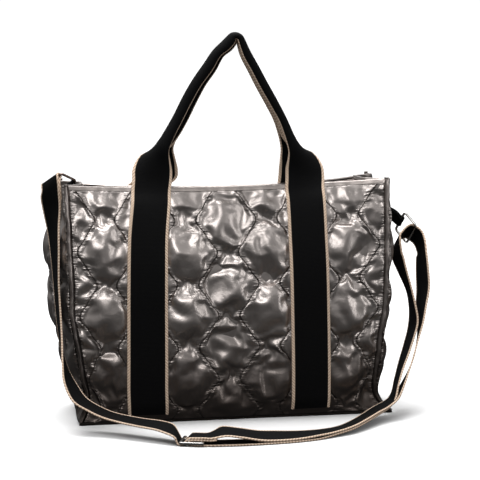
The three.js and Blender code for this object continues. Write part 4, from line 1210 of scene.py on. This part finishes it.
def widths(rows):
    turn, tilt = np.radians(rows["turn"]), np.radians(rows["tilt"])
    return np.stack([np.cos(tilt) * np.sin(turn), np.cos(tilt) * np.cos(turn), np.sin(tilt)], 1)


def stops_of(rows):
    """Places, width directions and how far each width is turned square to the run."""
    return [(at, width, 1.0) for at, width in zip(spots(rows), widths(rows))]


def ring_frame(ring):
    bar = unit(ring["bar"])
    side = np.array(ring["side"], float)
    side = unit(side - bar * np.dot(side, bar))
    centre = np.array(ring["place"]) * (HALF_WIDTH, HALF_DEPTH, BAG_HEIGHT)
    return centre, bar, side, np.cross(bar, side)


def over_bar(centre, bar, start, top, turns):
    return [(centre + BEND_RADIUS * (start * math.cos(a) + top * math.sin(a)), bar, 0.0)
            for a in np.radians(turns)]


def shifted(stops, away):
    return [(at + LAYER_STEP * unit(away - width * np.dot(away, width)), width, square)
            for at, width, square in stops]


def band_middle(stops, wide, shares):
    """Middle surface of flat webbing through a list of stops."""
    edges = []
    last = len(stops) - 1
    for k, (at, width, square) in enumerate(stops):
        ahead = stops[min(k + 1, last)][0] - at if k < last else at - stops[k - 1][0]
        behind = at - stops[max(k - 1, 0)][0] if k > 0 else ahead
        heading = unit(unit(ahead) + unit(behind))
        across = unit(width - heading * (square * np.dot(width, heading)))
        edges.append([at - across * wide / 2, at + across * wide / 2])
    curve = through_stops(np.array(edges), 3.0)
    t = (shares[None, :, None] + 1) / 2
    return mix(curve[:, :1], curve[:, 1:], t)


def shoulder_strap_stops():
    """From the left ring through the slide to the right ring and back to the slide's middle bar."""
    centre, bar, side, face = ring_frame(LEFT_RING)
    hang_bar = centre - side * RING_SIDE / 2
    single = stops_of(SINGLE_RUN)
    single[0] = (*single[0][:2], 0.0)
    single[1] = (*single[1][:2], 0.5)
    stops = shifted(single[:3], side)[::-1]
    stops += over_bar(hang_bar, bar, -side, -face, [190, 150, 120, 90, 60, 30, -10])
    stops += single

    turn = math.radians(SLIDER_HEADING)
    along = np.array([math.cos(turn), math.sin(turn), 0])
    across = np.array([-math.sin(turn), math.cos(turn), 0])
    slider = np.array([HALF_WIDTH * SLIDER_PLACE[0], HALF_DEPTH * SLIDER_PLACE[1], 0])

    def through(rows):
        return [(slider + SLIDER_LENGTH * (along * run + np.array([0, 0, up])),
                 across * math.cos(lean) + np.array([0, 0, math.sin(lean)]), 0.0)
                for run, up, lean in zip(rows["run"], rows["up"], np.radians(rows["tilt"]))]

    def layer(height, tilt):
        step_x = HALF_WIDTH * np.gradient(FLOOR_RUN["across"])
        step_y = HALF_DEPTH * np.gradient(FLOOR_RUN["depth"])
        rows = {"across": FLOOR_RUN["across"], "depth": FLOOR_RUN["depth"], "up": FLOOR_RUN[height],
                "turn": -np.degrees(np.arctan2(step_y, step_x)), "tilt": FLOOR_RUN[tilt]}
        return stops_of(rows)

    stops += through(UPPER_PASS)
    stops += layer("high", "high_tilt")
    stops += stops_of(OUTER_LEG)
    centre, bar, side, _ = ring_frame(RIGHT_RING)
    high_bar = centre - side * RING_SIDE / 2
    stops += [(high_bar + STRAP_WIDTH * away, bar, 0.0) for away in RIGHT_ARCH]
    stops += stops_of(INNER_LEG)[::-1]
    stops += layer("low", "low_tilt")[::-1]
    stops += through(LOWER_PASS)
    return stops


def tab_stops(rows, ring, hand):
    """Webbing loop from a side wall round the inner bar of a ring and back."""
    centre, bar, side, _ = ring_frame(ring)
    inner = centre + side * RING_SIDE / 2
    first = stops_of(rows)
    root = first[-1][0] - inner
    root = unit(root - bar * np.dot(root, bar))
    start = np.cross(bar, root) * hand
    bend = over_bar(inner, bar, start, -root, [-20, 20, 60, 90, 120, 160, 200])
    return first + bend + shifted(first, -start)[::-1]


# metal

def wire_ring(name, ring, look, slot):
    """Rectangular wire ring with rounded corners."""
    centre, bar, side, face = ring_frame(ring)
    stations = []
    for corner, (a, b) in enumerate([(1, 1), (-1, 1), (-1, -1), (1, -1)]):
        for k in range(9):
            angle = (corner + k / 8) * math.pi / 2
            away = bar * math.cos(angle) + side * math.sin(angle)
            at = (centre + bar * a * (RING_LENGTH / 2 - RING_CORNER)
                  + side * b * (RING_SIDE / 2 - RING_CORNER) + away * RING_CORNER)
            stations.append([at + WIRE_RADIUS * (away * math.cos(t) + face * math.sin(t))
                             for t in np.linspace(0, 2 * math.pi, 20, endpoint=False)])
    piece = loft(name, stations, ring=True)
    shade_smooth(piece)
    return finish_piece(piece, look, slot, name.replace("_metal", ""))


def rounded_rectangle(curve, a, b, half, corner):
    spline = curve.splines.new("POLY")
    points = []
    for cx, cy, first in ((b - corner, half - corner, 0), (a + corner, half - corner, 90),
                          (a + corner, corner - half, 180), (b - corner, corner - half, 270)):
        for t in np.radians(np.linspace(first, first + 90, 7)):
            points.append((cx + corner * math.cos(t), cy + corner * math.sin(t)))
    spline.points.add(len(points) - 1)
    for point, (x, y) in zip(spline.points, points):
        point.co = (x * MM, y * MM, 0, 1)
    spline.use_cyclic_u = True


def slide_metal():
    """Flat slide with two slots and rounded bars."""
    soft = SLIDER_SOFT_EDGE
    curve = bpy.data.curves.new("slide_outline", "CURVE")
    curve.dimensions = "2D"
    curve.fill_mode = "BOTH"
    curve.extrude = (SLIDER_THICKNESS / 2 - soft) * MM
    curve.bevel_depth = soft * MM
    curve.bevel_resolution = 3
    curve.offset = -soft * MM
    half = SLIDER_LENGTH / 2
    rounded_rectangle(curve, -half, half, SLIDER_WIDTH / 2, SLIDER_CORNER)
    inside = SLIDER_WIDTH / 2 - SLIDER_BAR
    rounded_rectangle(curve, SLIDER_BAR / 2, half - SLIDER_BAR, inside, SLOT_CORNER)
    rounded_rectangle(curve, SLIDER_BAR - half, -SLIDER_BAR / 2, inside, SLOT_CORNER)
    mesh = settled(linked("slide_outline", curve))
    piece = linked("slide_metal", mesh)
    turn = math.radians(SLIDER_HEADING)
    co = np.array([v.co for v in mesh.vertices])
    x = co[:, 0] * math.cos(turn) - co[:, 1] * math.sin(turn) + HALF_WIDTH * SLIDER_PLACE[0] * MM
    y = co[:, 0] * math.sin(turn) + co[:, 1] * math.cos(turn) + HALF_DEPTH * SLIDER_PLACE[1] * MM
    z = co[:, 2] + (SLIDER_HEIGHT + SLIDER_THICKNESS / 2) * MM
    mesh.vertices.foreach_set("co", np.stack([x, y, z], 1).ravel())
    shade_smooth(piece, 40)
    return finish_piece(piece, BRIGHT_METAL, "bright_metal", "slider")


# stitches

def stitch_tree():
    """Geometry nodes: one thread stitch every pitch along the paths."""
    tree = bpy.data.node_groups.new("stitch_row", "GeometryNodeTree")
    for label, way, kind in (("Geometry", "INPUT", "Geometry"), ("Pitch", "INPUT", "Float"),
                             ("Stitch Length", "INPUT", "Float"), ("Thread", "INPUT", "Float"),
                             ("Material", "INPUT", "Material"), ("Geometry", "OUTPUT", "Geometry")):
        tree.interface.new_socket(label, in_out=way, socket_type="NodeSocket" + kind)

    def add(kind, settings=None, inputs=None):
        made = tree.nodes.new(kind)
        for key, value in (settings or {}).items():
            setattr(made, key, value)
        for key, value in (inputs or {}).items():
            if isinstance(value, bpy.types.NodeSocket):
                tree.links.new(value, made.inputs[key])
            else:
                made.inputs[key].default_value = value
        return made

    given = add("NodeGroupInput").outputs
    curve = add("GeometryNodeMeshToCurve", inputs={"Mesh": given["Geometry"]})
    even = add("GeometryNodeResampleCurve", {"mode": "LENGTH"},
               {"Curve": curve.outputs[0], "Length": given["Pitch"]})
    points = add("GeometryNodeCurveToPoints", {"mode": "EVALUATED"}, {"Curve": even.outputs[0]})
    turned = add("FunctionNodeAlignRotationToVector", {"axis": "Z"}, {"Vector": points.outputs["Tangent"]})
    bead = add("GeometryNodeMeshUVSphere", inputs={"Segments": 6, "Rings": 4, "Radius": 0.5})
    size = add("ShaderNodeCombineXYZ",
               inputs={0: given["Thread"], 1: given["Thread"], 2: given["Stitch Length"]})
    stitch = add("GeometryNodeTransform", inputs={"Geometry": bead.outputs[0], "Scale": size.outputs[0]})
    placed = add("GeometryNodeInstanceOnPoints", inputs={
        "Points": points.outputs["Points"], "Instance": stitch.outputs[0], "Rotation": turned.outputs[0]})
    real = add("GeometryNodeRealizeInstances", inputs={0: placed.outputs[0]})
    soft = add("GeometryNodeSetShadeSmooth", inputs={"Geometry": real.outputs[0]})
    dressed = add("GeometryNodeSetMaterial",
                  inputs={"Geometry": soft.outputs[0], "Material": given["Material"]})
    add("NodeGroupOutput", inputs={0: dressed.outputs[0]})
    return tree


STITCHES = stitch_tree()


def sew(name, paths, thread, slot):
    """Rows of stitches along lists of points."""
    points = np.concatenate(paths)
    edges = []
    start = 0
    for path in paths:
        edges += [(start + k, start + k + 1) for k in range(len(path) - 1)]
        start += len(path)
    guide = make_object(name, points, [], edges)
    rows = guide.modifiers.new("stitches", "NODES")
    rows.node_group = STITCHES
    values = {"Pitch": STITCH_PITCH * MM, "Stitch Length": STITCH_LENGTH * MM,
              "Thread": STITCH_THICKNESS * MM, "Material": thread}
    for item in STITCHES.interface.items_tree:
        if item.item_type == "SOCKET" and item.in_out == "INPUT" and item.name in values:
            rows[item.identifier] = values[item.name]
    return finish_piece(linked(name, settled(guide)), thread, slot)


def runs_where(points, keep):
    """Splits a row of points into the stretches that are kept."""
    runs = [[]]
    for point, good in zip(points, keep):
        if good:
            runs[-1].append(point)
        else:
            runs.append([])
    return [np.array(run) for run in runs if len(run) > 2]


def outward_of(grid):
    return unit(np.cross(np.gradient(grid, axis=1), np.gradient(grid, axis=0)))


def seam_paths(grid, columns_at, keep):
    """Paths of the stitch lines on a wall, lifted off it."""
    proud = grid + outward_of(grid) * STITCH_LIFT
    paths = []
    for c in columns_at:
        paths += runs_where(proud[2:-2, c], keep[2:-2, c])
    return paths


# the bag

def build_bag():
    quilting = []
    lines_at = [EDGE_COLUMNS + CHANNEL_COLUMNS * k for k in range(QUILT_LINES)]
    for name, side in (("front_panel", -1), ("back_panel", 1)):
        wall, grid, press = quilt_wall(name + "_cloth", side)
        finish_piece(wall, PEWTER, "quilted_nylon", name)
        quilting += seam_paths(grid, lines_at, press < 0.5)
    for name, hand in (("left_gusset", -1), ("right_gusset", 1)):
        wall, grid = quilt_side(name + "_cloth", hand)
        finish_piece(wall, PEWTER, "quilted_nylon", name)
        keep = np.ones(grid.shape[:2], bool)
        quilting += seam_paths(grid, [CHANNEL_COLUMNS, 2 * CHANNEL_COLUMNS], keep)
    sew("quilting_thread", quilting, DARK_THREAD, "quilted_nylon")

    for name, hand, side in (("front_left_welt", -1, -1), ("front_right_welt", 1, -1),
                             ("back_left_welt", -1, 1), ("back_right_welt", 1, 1)):
        finish_piece(welt(name + "_cloth", hand, side), TRIM, "trim_nylon", name)
    for name, side in (("front_hem", -1), ("back_hem", 1)):
        finish_piece(hem(name + "_cloth", side), TRIM, "trim_nylon", name)
    finish_piece(base("base_panel_cloth"), PAINTED_SHADE_BASE_CLOTH, "base_nylon", "base_panel")


def build_webbing():
    for name, side in (("front_handle", -1), ("back_handle", 1)):
        middle = handle_middle(side, BAND_SHARES)
        woven_band(name + "_web", middle, HANDLE_WIDTH, HANDLE_THICKNESS, HANDLE_BORDER, HANDLE_WEB,
                   "webbing", name)
    strap = band_middle(shoulder_strap_stops(), STRAP_WIDTH, BAND_SHARES)
    woven_band("shoulder_strap_web", strap, STRAP_WIDTH, STRAP_THICKNESS, STRAP_BORDER, STRAP_WEB, "webbing",
               "shoulder_strap")
    for name, rows, ring, hand, wide in (("left_tab", LEFT_TAB, LEFT_RING, -1, LEFT_TAB_WIDTH),
                                         ("right_tab", RIGHT_TAB, RIGHT_RING, 1, RIGHT_TAB_WIDTH)):
        middle = band_middle(tab_stops(rows, ring, hand), wide, BAND_SHARES)
        woven_band(name + "_web", middle, wide, STRAP_THICKNESS, TAB_BORDER, TAB_WEB, "webbing", name)


def build_metal():
    wire_ring("left_ring_metal", LEFT_RING, DARK_METAL, "dark_ring")
    wire_ring("right_ring_metal", RIGHT_RING, BRIGHT_METAL, "bright_metal")
    slide_metal()


# studio

def aim(thing, target):
    direction = Vector(target) - thing.location
    thing.rotation_euler = direction.to_track_quat("-Z", "Y").to_euler()


def soft_box(name, place, size, power):
    light = bpy.data.lights.new(name, "AREA")
    light.shape = "RECTANGLE"
    light.size, light.size_y = size
    light.energy = power
    lamp = linked(name, light)
    lamp.location = place
    lamp.visible_camera = False
    aim(lamp, LIT_MIDDLE)


def studio():
    camera = bpy.data.cameras.new("camera")
    camera.lens = CAMERA_LENS
    camera.sensor_width = CAMERA_SENSOR
    seat = linked("camera", camera)
    seat.location = Vector(CAMERA_PLACE) * MM
    aim(seat, Vector(CAMERA_TARGET) * MM)
    bpy.context.scene.camera = seat

    corners = [(x * FLOOR_REACH, y * FLOOR_REACH, 0) for x, y in ((-1, -1), (1, -1), (1, 1), (-1, 1))]
    floor = make_object("floor", corners, [(0, 1, 2, 3)])
    paper = Look("pale_floor")
    tone = paper.noise(paper.place(), 3.0)
    floor.data.materials.append(paper.shade(
        base_color=paper.blend(tone, (0.86, 0.86, 0.86, 1), (0.88, 0.88, 0.88, 1)), roughness=0.9))
    floor.visible_diffuse = False
    floor.visible_glossy = False

    bpy.context.scene.view_settings.view_transform = "Standard"
    world = bpy.data.worlds.new("studio")
    bpy.context.scene.world = world
    world.use_nodes = True
    nodes, links = world.node_tree.nodes, world.node_tree.links
    background = nodes["Background"]
    background.inputs["Color"].default_value = (1, 1, 1, 1)
    direction = nodes.new("ShaderNodeTexCoord")
    parts = nodes.new("ShaderNodeSeparateXYZ")
    room = nodes.new("ShaderNodeMapRange")
    seen = nodes.new("ShaderNodeLightPath")
    strength = nodes.new("ShaderNodeMix")
    for socket, value in ROOM_LIGHT.items():
        room.inputs[socket].default_value = value
    strength.inputs[3].default_value = SEEN_WORLD
    links.new(direction.outputs["Generated"], parts.inputs[0])
    links.new(parts.outputs["Z"], room.inputs["Value"])
    links.new(seen.outputs["Is Camera Ray"], strength.inputs[0])
    links.new(room.outputs[0], strength.inputs[2])
    links.new(strength.outputs[0], background.inputs["Strength"])

    sun = bpy.data.lights.new("even", "SUN")
    sun.energy = SUN_POWER
    sun.angle = math.radians(SUN_ANGLE)
    lamp = linked("even", sun)
    lamp.location = SUN_PLACE
    aim(lamp, (0, 0, 0))
    for box in SOFT_BOXES:
        soft_box(*box)


build_bag()
build_webbing()
build_metal()
studio()
